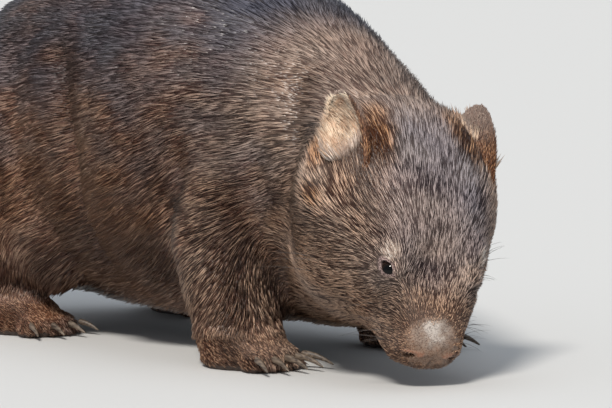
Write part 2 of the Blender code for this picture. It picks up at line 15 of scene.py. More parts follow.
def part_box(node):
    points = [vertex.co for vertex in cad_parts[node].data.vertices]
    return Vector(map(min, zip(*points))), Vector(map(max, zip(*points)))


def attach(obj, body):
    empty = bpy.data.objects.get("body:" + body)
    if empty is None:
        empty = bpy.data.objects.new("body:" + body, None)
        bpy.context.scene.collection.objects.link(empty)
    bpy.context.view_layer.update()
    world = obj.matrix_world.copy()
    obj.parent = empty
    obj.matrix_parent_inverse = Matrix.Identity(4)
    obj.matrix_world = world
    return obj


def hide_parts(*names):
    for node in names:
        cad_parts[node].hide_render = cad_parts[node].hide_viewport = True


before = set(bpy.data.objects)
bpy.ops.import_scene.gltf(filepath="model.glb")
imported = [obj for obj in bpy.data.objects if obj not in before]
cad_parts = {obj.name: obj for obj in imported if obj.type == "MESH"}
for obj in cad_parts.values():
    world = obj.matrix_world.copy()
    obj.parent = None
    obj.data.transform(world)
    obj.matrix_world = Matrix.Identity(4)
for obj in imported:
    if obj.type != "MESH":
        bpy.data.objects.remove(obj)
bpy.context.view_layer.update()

bl_info = {
    "name": "Grazing Wombat",
    "version": (1, 0, 0),
    "blender": (4, 5, 0),
    "location": "View3D > Sidebar > Wombat",
    "description": "Skin, coat, eyes, claws, whiskers and stage of a life-size grazing wombat",
    "category": "Object",
}

SIDES = {"right": -1.0, "left": 1.0}
ENDS = {"fore": 5, "hind": 4}

# The head's own frame: +X runs to the nose, +Y to its left, +Z to the crown
HEAD_TURN = Euler((math.radians(-10.0), math.radians(46.5), math.radians(-18.5)), "XYZ").to_matrix()
EYE_CENTRE = Vector((-0.0010, 0.0372, -0.0035))
EYE_LOOK = Vector((0.50, 0.75, 0.43)).normalized()
EYE_SLOPE = Vector((1.0, 0.0, -0.25))
EYE_RADIUS = 0.0105
LID_FORM = (0.0153, 0.0134, 0.0121)
OPENING = (0.0065, 0.0043)
OPENING_TURN = math.radians(24)
OPENING_SHIFT = -0.0023
OPENING_RISE = 0.0009

# The pale hair above and behind each eye, as for the left side
BROW_PLACE = Vector((-0.0060, 0.0460, 0.0100))
BROW_SLOPE = Vector((0.003, -0.012, 0.022))
BEHIND_EYE = Vector((-0.004, 0.053, -0.012))

NOSE_CENTRE = np.array([0.052, 0.000, -0.032])
NOSE_RADII = np.array([0.0230, 0.0285, 0.0245])
NOSE_TIP_UP = math.radians(38)
NOSE_SHEEN = np.array([0.0480, -0.0040, -0.0195])
NOSTRIL_PLACE = (0.0565, 0.0195, -0.0410)
NOSTRIL_SPLAY = math.radians(42)
NOSTRIL_SLANT = math.radians(-24)

MOUTH_CENTRE = np.array([0.018, 0.000, -0.0565])
MOUTH_SWEEP = math.radians(98)
MOUTH_WAVE = 0.055

EAR_ROOTS = {"right": (-0.0899, 0.0691, 0.0156), "left": (-0.096, 0.067, 0.008)}
EAR_OPENS = {"right": (0.175, 0.971, 0.160), "left": (-0.50, 0.86, 0.02)}
EAR_LEANS = {"right": (-0.838, 0.094, 0.537), "left": (-1.20, -0.05, 1.00)}
EAR_HEIGHT = 0.070
EAR_SUNK = 0.020
EAR_HALF_WIDTH = 0.0265
EAR_CUP = 0.019
EAR_BEND = math.radians(72)
CUP_FRONTS = {"right": (0.64, 0.80), "left": (0.10, 0.40)}
EAR_FRONT = ((-0.126, 0.042, 0.048), (-0.108, 0.044, 0.048), (-0.092, 0.048, 0.045))
EAR_FRINGE = ((-0.118, 0.082, 0.006), (-0.102, 0.086, -0.002), (-0.088, 0.088, -0.014))
EAR_HOLLOW = np.array([0.0050, -0.0005, 0.0420])
EAR_HOLLOW_RADII = np.array([0.0225, 0.0180, 0.0310])

# Half sizes of the egg that each leg fills, and how far its middle lies from the foot's
LEG_EGGS = {"fore": (0.082, 0.098, 0.195, -0.022), "hind": (0.105, 0.100, 0.205, -0.020)}
LEG_OUTWARD = 0.030

# Folds of the body: places along each, how far its sides reach and how deep it is. Shade is also painted into skin and
# coat along each fold's bottom.
FOLDS = {
    "groin": (
        [(-0.080, 0.135, 0.265), (-0.041, 0.151, 0.183), (-0.039, 0.142, 0.118), (-0.036, 0.122, 0.080)],
        0.021,
        0.0080,
    ),
    "cheek": (
        [
            (0.214, 0.076, 0.252),
            (0.232, 0.093, 0.230),
            (0.246, 0.107, 0.206),
            (0.244, 0.115, 0.184),
            (0.246, 0.120, 0.160),
            (0.245, 0.120, 0.133),
            (0.226, 0.107, 0.103),
            (0.206, 0.092, 0.075),
        ],
        0.0180,
        0.0045,
    ),
    # Painted shade: this shallow fold is there mostly to darken a lit strip at the back of the cheek.
    "cheek_rim_shade": (
        [(0.252, 0.121, 0.142), (0.260, 0.125, 0.122), (0.264, 0.127, 0.104), (0.252, 0.119, 0.086)],
        0.0120,
        0.0012,
    ),
    "elbow": ([(0.110, 0.135, 0.175), (0.098, 0.128, 0.115), (0.104, 0.112, 0.070)], 0.016, 0.0050),
}

FLESH = ["torso", "neck", "head", "nose", "tail"]
FLESH += [f"{end}_{part}_{side}" for end in ENDS for part in ("leg", "foot") for side in SIDES]


def along_side(place, side):
    """A place or direction given for the left side, mirrored to the right one if asked."""
    return Vector((place[0], place[1] * SIDES[side], place[2]))


def middle_of(node):
    low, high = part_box(node)
    return (Vector(low) + Vector(high)) / 2


def head_place():
    """The head frame's origin, found from the two eyeballs."""
    between = (middle_of("eye_right") + middle_of("eye_left")) / 2
    return between - HEAD_TURN @ Vector((EYE_CENTRE.x, 0.0, EYE_CENTRE.z))


HEAD = Matrix.Translation(head_place()) @ HEAD_TURN.to_4x4()
HEAD_AXES = np.array(HEAD_TURN)
HEAD_ORIGIN = np.array(HEAD.translation)


def into_head(points):
    return (points - HEAD_ORIGIN) @ HEAD_AXES


def out_of_head(vectors):
    return vectors @ HEAD_AXES.T


def eye_matrix(side):
    """The frame of an eye: +Z is the way it looks and +X runs to the tear duct."""
    look = along_side(EYE_LOOK, side)
    slope = (EYE_SLOPE - look * EYE_SLOPE.dot(look)).normalized()
    turn = Matrix((slope, look.cross(slope), look)).transposed().to_4x4()
    return HEAD @ Matrix.Translation(along_side(EYE_CENTRE, side)) @ turn


def ear_matrix(side):
    """The frame of an ear: +X is the way its cup opens and +Z runs up to its tip."""
    up = along_side(EAR_LEANS[side], side).normalized()
    opens = along_side(EAR_OPENS[side], side)
    opens = (opens - up * opens.dot(up)).normalized()
    turn = Matrix((opens, up.cross(opens), up)).transposed().to_4x4()
    return HEAD @ Matrix.Translation(along_side(EAR_ROOTS[side], side)) @ turn


def nostril_matrix(side):
    """The frame of a nostril: +X is the way it faces."""
    turn = Euler((NOSTRIL_SLANT * SIDES[side], 0, NOSTRIL_SPLAY * SIDES[side])).to_matrix().to_4x4()
    return HEAD @ Matrix.Translation(along_side(NOSTRIL_PLACE, side)) @ turn


def into(matrix, points):
    """Points in a frame's own coordinates."""
    inverse = np.array(matrix.inverted())
    return points @ inverse[:3, :3].T + inverse[:3, 3]


def out_of(matrix, points):
    full = np.array(matrix)
    return points @ full[:3, :3].T + full[:3, 3]


def ear_width(share):
    """Half the ear's width at a share of the way from its root to its tip."""
    return EAR_HALF_WIDTH * np.sqrt(np.maximum(1.0 - (np.abs(share - 0.42) / 0.585) ** 2, 0.02))


def smooth(values, start, end):
    """0 before the start, 1 after the end and a smooth rise between them."""
    share = np.clip((np.asarray(values, float) - start) / (end - start), 0.0, 1.0)
    return share * share * (3.0 - 2.0 * share)


def blend(first, second, share):
    if np.ndim(first) == 2 or np.ndim(second) == 2:
        share = share[:, None]
    return first * (1.0 - share) + second * share


def normalized(vectors):
    lengths = np.linalg.norm(vectors, axis=1, keepdims=True)
    return vectors / np.maximum(lengths, 1e-9)


def waves(points, size, seed):
    """A soft random pattern from -1 to 1, with patches of about the given size."""
    rng = np.random.default_rng(seed)
    total = np.zeros(len(points))
    for _ in range(10):
        way = rng.normal(size=3)
        way *= 2 * math.pi / (size * rng.uniform(1.4, 3.2) * np.linalg.norm(way))
        total += np.sin(points @ way + rng.uniform(0, 2 * math.pi))
    return np.clip(total / 3.2, -1.0, 1.0)


def nose_measure(head_points):
    """1 on the rim of the bare nose pad, less inside it."""
    rise, run = math.sin(NOSE_TIP_UP), math.cos(NOSE_TIP_UP)
    x, y, z = (head_points - NOSE_CENTRE).T
    forward = x * run + z * rise
    upward = -x * rise + z * run
    return np.sqrt((forward / NOSE_RADII[0]) ** 2 + (y / NOSE_RADII[1]) ** 2 + (upward / NOSE_RADII[2]) ** 2)


def cup_share(points):
    """1 where the head's own skin lines the cup of an ear."""
    found = np.zeros(len(points))
    for side in SIDES:
        local = into(ear_matrix(side), points)
        measure = np.linalg.norm((local - EAR_HOLLOW) / (EAR_HOLLOW_RADII + 0.002), axis=1)
        found = np.maximum(found, 1.0 - smooth(measure, 0.98, 1.12))
    return found


def ear_front(local, fine, side):
    """1 in the dark warm hair before an ear and 1 in the warm fringe below it."""
    shares = []
    for places, reach in ((EAR_FRONT, 0.027), (EAR_FRINGE, 0.019)):
        nearest = np.full(len(local), 1.0)
        for place in places:
            nearest = np.minimum(nearest, np.linalg.norm(local - np.array(along_side(place, side)), axis=1))
        shares.append(1.0 - smooth(nearest + 0.004 * fine, 0.25 * reach, reach))
    return shares


def eye_distance(points):
    """The distance from the nearer eye's line of sight, for what lies in front of the ball's middle."""
    nearest = np.full(len(points), 1.0)
    for side in SIDES:
        x, y, z = into(eye_matrix(side), points).T
        away = np.sqrt(x * x + y * y) + np.where(z < -0.004, 0.05, 0.0)
        nearest = np.minimum(nearest, away)
    return nearest


def almond_of(x, y, long, high):
    """1 on the rim of an almond with these half sizes, less inside it."""
    return ((np.abs(x) / long) ** 1.65 + (np.abs(y) / high) ** 1.65) ** (1 / 1.65)


def eye_local(points, side):
    """Points in the frame of an eye's opening: x runs to the tear duct, y to the brow and z forwards."""
    x, y, z = into(eye_matrix(side), points).T
    y = -SIDES[side] * y
    turn = OPENING_TURN
    return np.stack([x * math.cos(turn) + y * math.sin(turn), y * math.cos(turn) - x * math.sin(turn), z], axis=1)


def eye_world(local, side):
    """The way back from eye_local."""
    turn = OPENING_TURN
    x = local[:, 0] * math.cos(turn) - local[:, 1] * math.sin(turn)
    y = local[:, 0] * math.sin(turn) + local[:, 1] * math.cos(turn)
    return out_of(eye_matrix(side), np.stack([x, -SIDES[side] * y, local[:, 2]], axis=1))


def lid_measure(points):
    """1 on the rim of the nearer eye's opening and more outside it."""
    nearest = np.full(len(points), 9.0)
    for side in SIDES:
        x, y, z = eye_local(points, side).T
        found = almond_of(x - OPENING_SHIFT, y - OPENING_RISE, OPENING[0], OPENING[1]) + np.where(z < -0.001, 9.0, 0.0)
        nearest = np.minimum(nearest, found)
    return nearest


def mouth_line(head_points):
    """For each point the height above the line of the lips, and how far round from its middle it lies."""
    across = head_points - MOUTH_CENTRE
    angle = np.arctan2(across[:, 1], across[:, 0])
    reach = np.hypot(across[:, 0], across[:, 1])
    height = across[:, 2] - reach * MOUTH_WAVE * np.cos(3 * angle)
    return height, angle, reach


def leg_share(points):
    """How much of each point belongs to a leg."""
    found = np.zeros(len(points))
    for end in ENDS:
        length, width, height, ahead = LEG_EGGS[end]
        for side in SIDES:
            foot = middle_of(f"{end}_foot_{side}")
            middle = np.array([foot.x + ahead, foot.y + SIDES[side] * LEG_OUTWARD, 0.0])
            inside = np.linalg.norm((points - middle) / (length, width, height), axis=1)
            found = np.maximum(found, 1.0 - smooth(inside, 0.80, 1.12))
    return found


def regions(points):
    """The shares of head, leg and foot at each point, from 0 to 1."""
    local = into_head(points)
    leg = leg_share(points)
    near = np.linalg.norm((local - (-0.060, 0.0, -0.035)) / (0.150, 0.125, 0.150), axis=1)
    head = smooth(local[:, 0], -0.165, -0.105) * (1.0 - smooth(near, 1.0, 1.25)) * (1.0 - leg)
    foot = (1.0 - smooth(points[:, 2], 0.026, 0.048)) * leg
    return local, head, leg, foot


def fold_share(points, name, side):
    """1 along the bottom of a fold, falling to 0 at its sides."""
    places, reach, _ = FOLDS[name]
    places = np.array([along_side(place, side) for place in places])
    nearest = np.full(len(points), 1.0)
    for a, b in zip(places, places[1:]):
        share = np.clip((points - a) @ (b - a) / ((b - a) @ (b - a)), 0.0, 1.0)
        nearest = np.minimum(nearest, np.linalg.norm(points - a - share[:, None] * (b - a), axis=1))
    return np.exp(-((nearest / reach) ** 2))


def folded(points):
    """How deep the folds are at each point, and a share that is 1 at their bottom, where shade is painted."""
    depth, share = np.zeros(len(points)), np.zeros(len(points))
    for name, (_, _, deepest) in FOLDS.items():
        for side in SIDES:
            if name.startswith("cheek") and side == "left":
                continue
            found = fold_share(points, name, side)
            depth = np.maximum(depth, deepest * found)
            share = np.maximum(share, found)
    return depth, share


def coat_depth(points):
    """How far the skin lies inside the tips of the coat."""
    local, head, leg, foot = regions(points)
    depth = np.full(len(points), 0.0095)
    depth = blend(depth, 0.0062, leg)
    depth = blend(depth, 0.0020, foot)
    face = blend(0.0064, 0.0036, smooth(local[:, 0], -0.080, -0.010))
    face = blend(face, 0.0016, smooth(local[:, 0], 0.008, 0.040))
    depth = blend(depth, face, head)
    depth *= (1.0 - 0.9 * cup_share(points)) * smooth(nose_measure(local), 0.98, 1.25)
    depth *= smooth(eye_distance(points), 0.0085, 0.0170)
    return depth


def hair_length(points):
    """How long the hairs of the coat are."""
    local, head, leg, foot = regions(points)
    length = np.full(len(points), 0.0235)
    length = blend(length, 0.0160, leg)
    length = blend(length, 0.0075, foot)
    face = blend(0.0175, 0.0105, smooth(local[:, 0], -0.085, -0.010))
    face = blend(face, 0.0048, smooth(local[:, 0], 0.002, 0.040))
    length = blend(length, face, head)
    from_tail = np.linalg.norm(points - np.array(middle_of("tail")), axis=1)
    length *= 1.0 - 0.5 * (1.0 - smooth(from_tail, 0.018, 0.040))
    near_nose = 1.0 - smooth(nose_measure(local), 1.0, 1.35)
    near_eye = 1.0 - smooth(eye_distance(points), 0.008, 0.020)
    return length * (1.0 - 0.45 * np.maximum(near_nose, near_eye))


def lie_of_coat(points, normals, rng):
    """The direction in which the hairs lie, along the skin."""
    local, head, leg, foot = regions(points)
    way = np.zeros((len(points), 3))
    way[:, 0] = -1.0
    way[:, 2] = blend(-0.42, -0.56, smooth(points[:, 0], 0.02, 0.18))
    down_leg = np.array([-0.30, 0.0, -1.0])
    forwards = np.array([1.0, 0.0, -0.35])
    way = blend(way, down_leg, leg * (1.0 - smooth(points[:, 2], 0.070, 0.150)))
    way = blend(way, forwards, foot)
    side = np.sign(local[:, 1]) * smooth(np.abs(local[:, 1]), 0.010, 0.050)
    cheek = smooth(-local[:, 2], -0.016, 0.030) * smooth(np.abs(local[:, 1]), 0.018, 0.044)
    back = np.zeros((len(points), 3))
    back[:, 0] = -1.0
    back[:, 1] = 0.25 * side
    out = np.zeros((len(points), 3))
    out[:, 0] = -0.40
    out[:, 1] = side
    out[:, 2] = -0.42
    on_head = blend(back, out, cheek)
    for name in SIDES:
        to_ear = local - np.array(along_side(EAR_ROOTS[name], name))
        near = 1.0 - smooth(np.linalg.norm(to_ear, axis=1), 0.026, 0.050)
        up_ear = np.array(along_side(EAR_LEANS[name], name).normalized())
        on_head = blend(on_head, normalized(on_head) + 1.6 * up_ear, near)
        x, y, z = (local - np.array(along_side(EYE_CENTRE, name))).T
        near = 1.0 - smooth(np.sqrt(x * x + y * y + z * z), 0.012, 0.034)
        round_eye = np.stack([x, y, z], axis=1)
        on_head = blend(on_head, normalized(on_head) + 0.9 * normalized(round_eye), near)
    way = blend(way, out_of_head(on_head), head)
    way -= normals * np.sum(way * normals, axis=1, keepdims=True)
    way = normalized(way)
    across = np.cross(normals, way)
    calm = 1.0 - 0.5 * np.maximum(head, foot)
    swirl = (0.16 * waves(points, 0.060, 3) + 0.10 * waves(points, 0.016, 4)) * calm
    swirl += rng.normal(0.0, 0.075, len(points))
    return way * np.cos(swirl)[:, None] + across * np.sin(swirl)[:, None]


def bare_skin(points, normals):
    """1 where no hair grows: nose pad, nostrils, lids, line of the mouth and soles."""
    local = into_head(points)
    ragged = 0.05 * waves(points, 0.0035, 8)
    bare = 1.0 - smooth(nose_measure(local) + 2.0 * ragged, 0.70, 1.02)
    bare = np.maximum(bare, 1.0 - smooth(lid_measure(points) + ragged, 1.45, 1.75))
    height, angle, _ = mouth_line(local)
    lips = (1.0 - smooth(np.abs(height), 0.0010, 0.0022)) * (np.abs(angle) < MOUTH_SWEEP)
    near_mouth = smooth(local[:, 0], 0.000, 0.010) * (local[:, 2] < -0.03)
    bare = np.maximum(bare, lips * near_mouth)
    sole = (points[:, 2] < 0.006) * (normals[:, 2] < -0.35)
    return np.maximum(bare, sole)


def markings(points, normals):
    """Shares of warm brown, pale tan, painted bluish sky sheen and bare skin at each point of the body."""
    local, head, leg, foot = regions(points)
    patchy = waves(points, 0.060, 11)
    fine = waves(points, 0.018, 12)
    cup = cup_share(points)
    warm = 0.30 * (1.0 - smooth(points[:, 2], 0.06, 0.24)) + 0.10 + 0.12 * patchy
    warm += 0.42 * (1.0 - smooth(points[:, 0], 0.04, 0.18)) * smooth(points[:, 2], 0.08, 0.14)
    warm = np.maximum(warm, 0.65 * foot)
    # Painted sheen: a bluish sky sheen on the coat where it faces upwards, kept off the legs.
    grey_sheen = smooth(normals[:, 2] + 0.22 * patchy + 0.16 * fine, -0.28, 0.96) * (1.0 - leg)
    # Painted sheen: the nape is paler and warmer where it faces upwards into the light.
    nape_sheen = smooth(points[:, 0], 0.11, 0.19) * smooth(normals[:, 2], 0.10, 0.45)
    grey_sheen *= 1.0 - 0.80 * nape_sheen
    warm += 0.18 * nape_sheen
    pale = 0.04 + 0.05 * fine + 0.16 * nape_sheen
    forehead = smooth(local[:, 2] + 0.3 * local[:, 0], -0.030, 0.020) * (1.0 - smooth(np.abs(local[:, 1]), 0.030, 0.070))
    face_warm = 0.35 * smooth(-local[:, 2], 0.0, 0.06) + 0.12
    muzzle = smooth(local[:, 0] + 0.008 * patchy + 0.006 * fine, 0.002, 0.044)
    face_warm = np.maximum(face_warm, 0.75 * muzzle)
    # Painted sheen: the bluish sky sheen of the forehead.
    face_grey_sheen = (0.62 + 0.20 * patchy) * forehead * (1.0 - smooth(local[:, 0] + 0.010 * fine, -0.010, 0.036))
    face_pale = 0.08 + 0.08 * fine + 0.06 * muzzle
    for side in SIDES:
        before_ear, fringe = ear_front(local, fine, side)
        root = np.linalg.norm(local - np.array(along_side(EAR_ROOTS[side], side)), axis=1)
        by_ear = 1.0 - smooth(root + 0.004 * fine, 0.016, 0.030)
        around = np.maximum(before_ear, fringe)
        face_warm = np.maximum(face_warm, np.maximum(0.22 * by_ear, 0.95 * around))
        face_grey_sheen *= 1.0 - np.maximum(by_ear, around)
        warm = np.maximum(warm, 0.85 * fringe)
        grey_sheen = grey_sheen * (1.0 - around)
        face_pale = np.maximum(face_pale * (1.0 - before_ear), 0.04 * fringe)
        away = local - np.array(along_side(BROW_PLACE, side))
        along = away @ np.array(along_side(BROW_SLOPE, side).normalized())
        spread = np.sqrt(np.maximum(np.sum(away * away, axis=1) - along**2, 0.0) + (along / 1.4) ** 2)
        over_eye = 1.0 - smooth(spread + 0.0012 * fine, 0.0045, 0.0095)
        face_pale = np.maximum(face_pale, over_eye)
        behind = np.array(along_side(BEHIND_EYE, side))
        by_eye = 1.0 - smooth(np.linalg.norm(local - behind, axis=1) + 0.003 * fine, 0.006, 0.024)
        face_pale = np.maximum(face_pale, 0.24 * by_eye)
        face_warm *= 1.0 - 0.8 * over_eye
        face_grey_sheen *= 1.0 - over_eye
    ring = 1.0 - smooth(eye_distance(points), 0.012, 0.020)
    face_pale = np.maximum(face_pale, 0.14 * ring)
    warm, grey_sheen, pale = (blend(a, b, head) for a, b in ((warm, face_warm), (grey_sheen, face_grey_sheen), (pale, face_pale)))
    warm, grey_sheen, pale = blend(warm, 0.35, cup), grey_sheen * (1.0 - cup), blend(pale, 0.75, cup)
    # Painted shade: the hair is darker, less pale and less bluish along the bottoms of the folds.
    fold_shade = folded(points)[1]
    warm, grey_sheen, pale = warm * (1.0 - 0.2 * fold_shade), grey_sheen * (1.0 - 0.7 * fold_shade), pale * (1.0 - 0.7 * fold_shade)
    nose = 1.0 - smooth(nose_measure(local) + 0.03 * fine, 0.93, 1.10)
    return np.clip(np.stack([warm, pale, grey_sheen, nose], axis=1), 0.0, 1.0)


# Objects and meshes


def only(*objs):
    """Selects these objects and nothing else, with the first one active."""
    bpy.ops.object.select_all(action="DESELECT")
    for obj in objs:
        obj.select_set(True)
    bpy.context.view_layer.objects.active = objs[0]


def linked(name, mesh):
    obj = bpy.data.objects.new(name, mesh)
    bpy.context.scene.collection.objects.link(obj)
    return obj


def applied(obj, kind, **settings):
    """Adds a modifier with these settings and applies it."""
    only(obj)
    change = obj.modifiers.new(kind.lower(), kind)
    for key, value in settings.items():
        setattr(change, key, value)
    bpy.ops.object.modifier_apply(modifier=change.name)


def coordinates(mesh):
    found = np.empty(len(mesh.vertices) * 3, np.float32)
    mesh.vertices.foreach_get("co", found)
    return found.reshape(-1, 3).astype(float)


def vertex_normals(mesh):
    found = np.empty(len(mesh.vertices) * 3, np.float32)
    mesh.vertex_normals.foreach_get("vector", found)
    return found.reshape(-1, 3).astype(float)


def move_vertices(mesh, points):
    mesh.vertices.foreach_set("co", np.asarray(points, np.float32).ravel())
    mesh.update()


def write_colour(mesh, name, values):
    """Keeps four numbers for each vertex under a name that materials read."""
    layer = mesh.attributes.new(name, "FLOAT_COLOR", "POINT")
    layer.data.foreach_set("color", np.asarray(values, np.float32).ravel())


def weigh(obj, name, weights):
    group = obj.vertex_groups.new(name=name)
    for level in range(1, 11):
        chosen = np.flatnonzero(np.round(weights * 10) == level)
        if len(chosen):
            group.add(chosen.tolist(), level / 10, "REPLACE")
    return group.name


def select_faces(obj, chosen):
    """Enters edit mode with these faces selected and nothing else."""
    mesh = obj.data
    only(obj)
    mesh.vertices.foreach_set("select", np.zeros(len(mesh.vertices), bool))
    mesh.edges.foreach_set("select", np.zeros(len(mesh.edges), bool))
    mesh.polygons.foreach_set("select", chosen)
    bpy.context.tool_settings.mesh_select_mode = (False, False, True)
    bpy.ops.object.mode_set(mode="EDIT")


def face_middles(mesh):
    found = np.empty(len(mesh.polygons) * 3, np.float32)
    mesh.polygons.foreach_get("center", found)
    return found.reshape(-1, 3).astype(float)


def finished(obj, *slots_of):
    """Puts the piece on the animal's one body; the slot names it is given are not used."""
    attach(obj, "root")
    return obj


def triangles_of(mesh):
    mesh.calc_loop_triangles()
    corners = np.empty(len(mesh.loop_triangles) * 3, np.int32)
    mesh.loop_triangles.foreach_get("vertices", corners)
    loops = np.empty(len(mesh.loop_triangles) * 3, np.int32)
    mesh.loop_triangles.foreach_get("loops", loops)
    return corners.reshape(-1, 3), loops.reshape(-1, 3)


def scattered_roots(mesh, density, rng):
    """Random places over a mesh, so many to the square metre, with their normals and their UV places."""
    corners, loops = triangles_of(mesh)
    points, normals = coordinates(mesh), vertex_normals(mesh)
    uv = np.empty(len(mesh.loops) * 2, np.float32)
    mesh.uv_layers["OFBake"].data.foreach_get("uv", uv)
    uv = uv.reshape(-1, 2).astype(float)
    a, b, c = points[corners[:, 0]], points[corners[:, 1]], points[corners[:, 2]]
    area = np.linalg.norm(np.cross(b - a, c - a), axis=1) / 2
    middle = (a + b + c) / 3
    face_normals = normalized(normals[corners].sum(axis=1))
    wanted = area * density(middle, face_normals)
    count = np.floor(wanted + rng.random(len(wanted))).astype(int)
    face = np.repeat(np.arange(len(wanted)), count)
    first, second = rng.random(len(face)), rng.random(len(face))
    over = first + second > 1.0
    first[over], second[over] = 1.0 - first[over], 1.0 - second[over]
    share = np.stack([1.0 - first - second, first, second], axis=1)
    place = np.einsum("ij,ijk->ik", share, points[corners[face]])
    normal = normalized(np.einsum("ij,ijk->ik", share, normals[corners[face]]))
    spot = np.einsum("ij,ijk->ik", share, uv[loops[face]])
    return place, normal, spot


def tuft_mesh(name, place, normal, way, spot, length, width, lift, marks, tone):
    """Closed tapered slivers, one for each root: two root corners, a raised ridge and a tip."""
    count = len(place)
    side = np.cross(normal, way)
    length, width, lift = length[:, None], width[:, None], lift[:, None]
    sunk = place - normal * (0.0006 + 0.15 * width)
    sway = (tone[:, 2:3] - 0.5) * 0.11 * length
    ridge = place + way * length * 0.40 + normal * (0.62 * lift + 0.18 * width) + side * sway * 0.25
    tip = place + way * length + normal * lift + side * sway
    points = np.stack([sunk - side * width / 2, sunk + side * width / 2, ridge, tip], axis=1)
    points[:, 2:, 2] = np.maximum(points[:, 2:, 2], 0.0012)
    points[:, :2, 2] = np.maximum(points[:, :2, 2], 0.0004)
    pattern = np.array([[0, 3, 2], [1, 2, 3], [0, 2, 1], [0, 1, 3]])
    corners = (np.arange(count)[:, None, None] * 4 + pattern).reshape(-1)
    mesh = bpy.data.meshes.new(name)
    mesh.vertices.add(count * 4)
    mesh.vertices.foreach_set("co", points.astype(np.float32).ravel())
    mesh.loops.add(count * 12)
    mesh.loops.foreach_set("vertex_index", corners.astype(np.int32))
    mesh.polygons.add(count * 4)
    mesh.polygons.foreach_set("loop_start", np.arange(0, count * 12, 3, dtype=np.int32))
    mesh.update(calc_edges=True)
    patch = np.array([[-1.0, -1.0], [1.0, -1.0], [0.0, 0.2], [0.0, 1.0]]) * 0.0015
    square = (np.clip(spot, 0.0016, 0.9984)[:, None, :] + patch).reshape(-1, 2)
    layer = mesh.uv_layers.new(name="OFBake")
    layer.data.foreach_set("uv", square[corners].astype(np.float32).ravel())
    write_colour(mesh, "marks", np.repeat(marks, 4, axis=0))
    strand = np.repeat(tone, 4, axis=0)
    strand[:, 2] = np.tile([0.0, 0.0, 0.45, 1.0], count)
    write_colour(mesh, "strand", strand)
    return mesh


# Materials


def node_group(name, inputs, outputs):
    """An empty shader node group with named sockets, and its input and output nodes."""
    group = bpy.data.node_groups.new(name, "ShaderNodeTree")
    for label, kind, default in inputs:
        socket = group.interface.new_socket(name=label, in_out="INPUT", socket_type=kind)
        socket.default_value = default
    for label, kind in outputs:
        group.interface.new_socket(name=label, in_out="OUTPUT", socket_type=kind)
    return group, group.nodes.new("NodeGroupInput"), group.nodes.new("NodeGroupOutput")


def mixed(tree, share, first, second, how="MIX"):
    """A colour mix of two sockets or colours, and its result socket."""
    node = tree.nodes.new("ShaderNodeMix")
    node.data_type = "RGBA"
    node.blend_type = how
    for key, value in ((0, share), (6, first), (7, second)):
        if isinstance(value, bpy.types.NodeSocket):
            tree.links.new(value, node.inputs[key])
        else:
            node.inputs[key].default_value = value
    return node.outputs[2]


def reckoned(tree, operation, *values):
    """A Math node on sockets or numbers, and its result socket."""
    node = tree.nodes.new("ShaderNodeMath")
    node.operation = operation
    node.use_clamp = True
    for key, value in enumerate(values):
        if isinstance(value, bpy.types.NodeSocket):
            tree.links.new(value, node.inputs[key])
        else:
            node.inputs[key].default_value = value
    return node.outputs[0]


def ranged(tree, value, start, end, low=0.0, high=1.0):
    node = tree.nodes.new("ShaderNodeMapRange")
    tree.links.new(value, node.inputs["Value"])
    node.inputs["From Min"].default_value = start
    node.inputs["From Max"].default_value = end
    node.inputs["To Min"].default_value = low
    node.inputs["To Max"].default_value = high
    return node.outputs[0]


def four(colour):
    return (*colour, 1.0)


def coat_colours(looks):
    """The coat's colours: dark, warm and pale places and places of painted bluish sky sheen, with lighter strands and
    tips, and painted shade towards the roots.
    """
    group, given, result = node_group(
        "Coat Colours",
        [
            ("Marks", "NodeSocketColor", (0.2, 0.1, 0.0, 1.0)),
            ("Tone", "NodeSocketFloat", 0.5),
            ("Strand", "NodeSocketFloat", 0.5),
            ("Along", "NodeSocketFloat", 0.5),
            ("Strength", "NodeSocketFloat", 1.0),
        ],
        [("Color", "NodeSocketColor")],
    )
    link = group.links.new
    marks = group.nodes.new("ShaderNodeSeparateColor")
    link(given.outputs["Marks"], marks.inputs[0])
    warm, pale, grey_sheen = marks.outputs
    base = mixed(group, given.outputs["Tone"], four(looks.dark_brown), four(looks.mid_brown))
    base = mixed(group, warm, base, mixed(group, given.outputs["Tone"], four(looks.warm_dark), four(looks.warm_light)))
    # Painted sheen: dark bluish hairs where the sky sheen is painted.
    base = mixed(group, grey_sheen, base, mixed(group, given.outputs["Tone"], four(looks.sheen_grey_dark), four(looks.sheen_grey_light)))
    base = mixed(group, pale, base, four(looks.pale_tan))
    light = ranged(group, given.outputs["Strand"], 0.66, 0.84, 0.0, 1.0)
    tip = ranged(group, given.outputs["Along"], 0.0, 0.60, 0.35, 1.0)
    shine = reckoned(group, "MULTIPLY", reckoned(group, "MULTIPLY", light, tip), given.outputs["Strength"])
    strand = mixed(group, warm, four(looks.strand_tan), four(looks.strand_warm))
    # Painted sheen: bluish strand tips where the sky sheen is painted.
    strand = mixed(group, grey_sheen, strand, four(looks.strand_grey_sheen))
    strand = mixed(group, pale, strand, four(looks.strand_pale))
    colour = mixed(group, shine, base, strand)
    # Painted shade: each tuft is mixed towards black near its root, down to half its colour, as shade between the
    # hairs.
    depth = ranged(group, given.outputs["Along"], 0.0, 0.6, 0.50, 1.0)
    dark = mixed(group, depth, (0.0, 0.0, 0.0, 1.0), colour)
    link(dark, result.inputs["Color"])
    return group


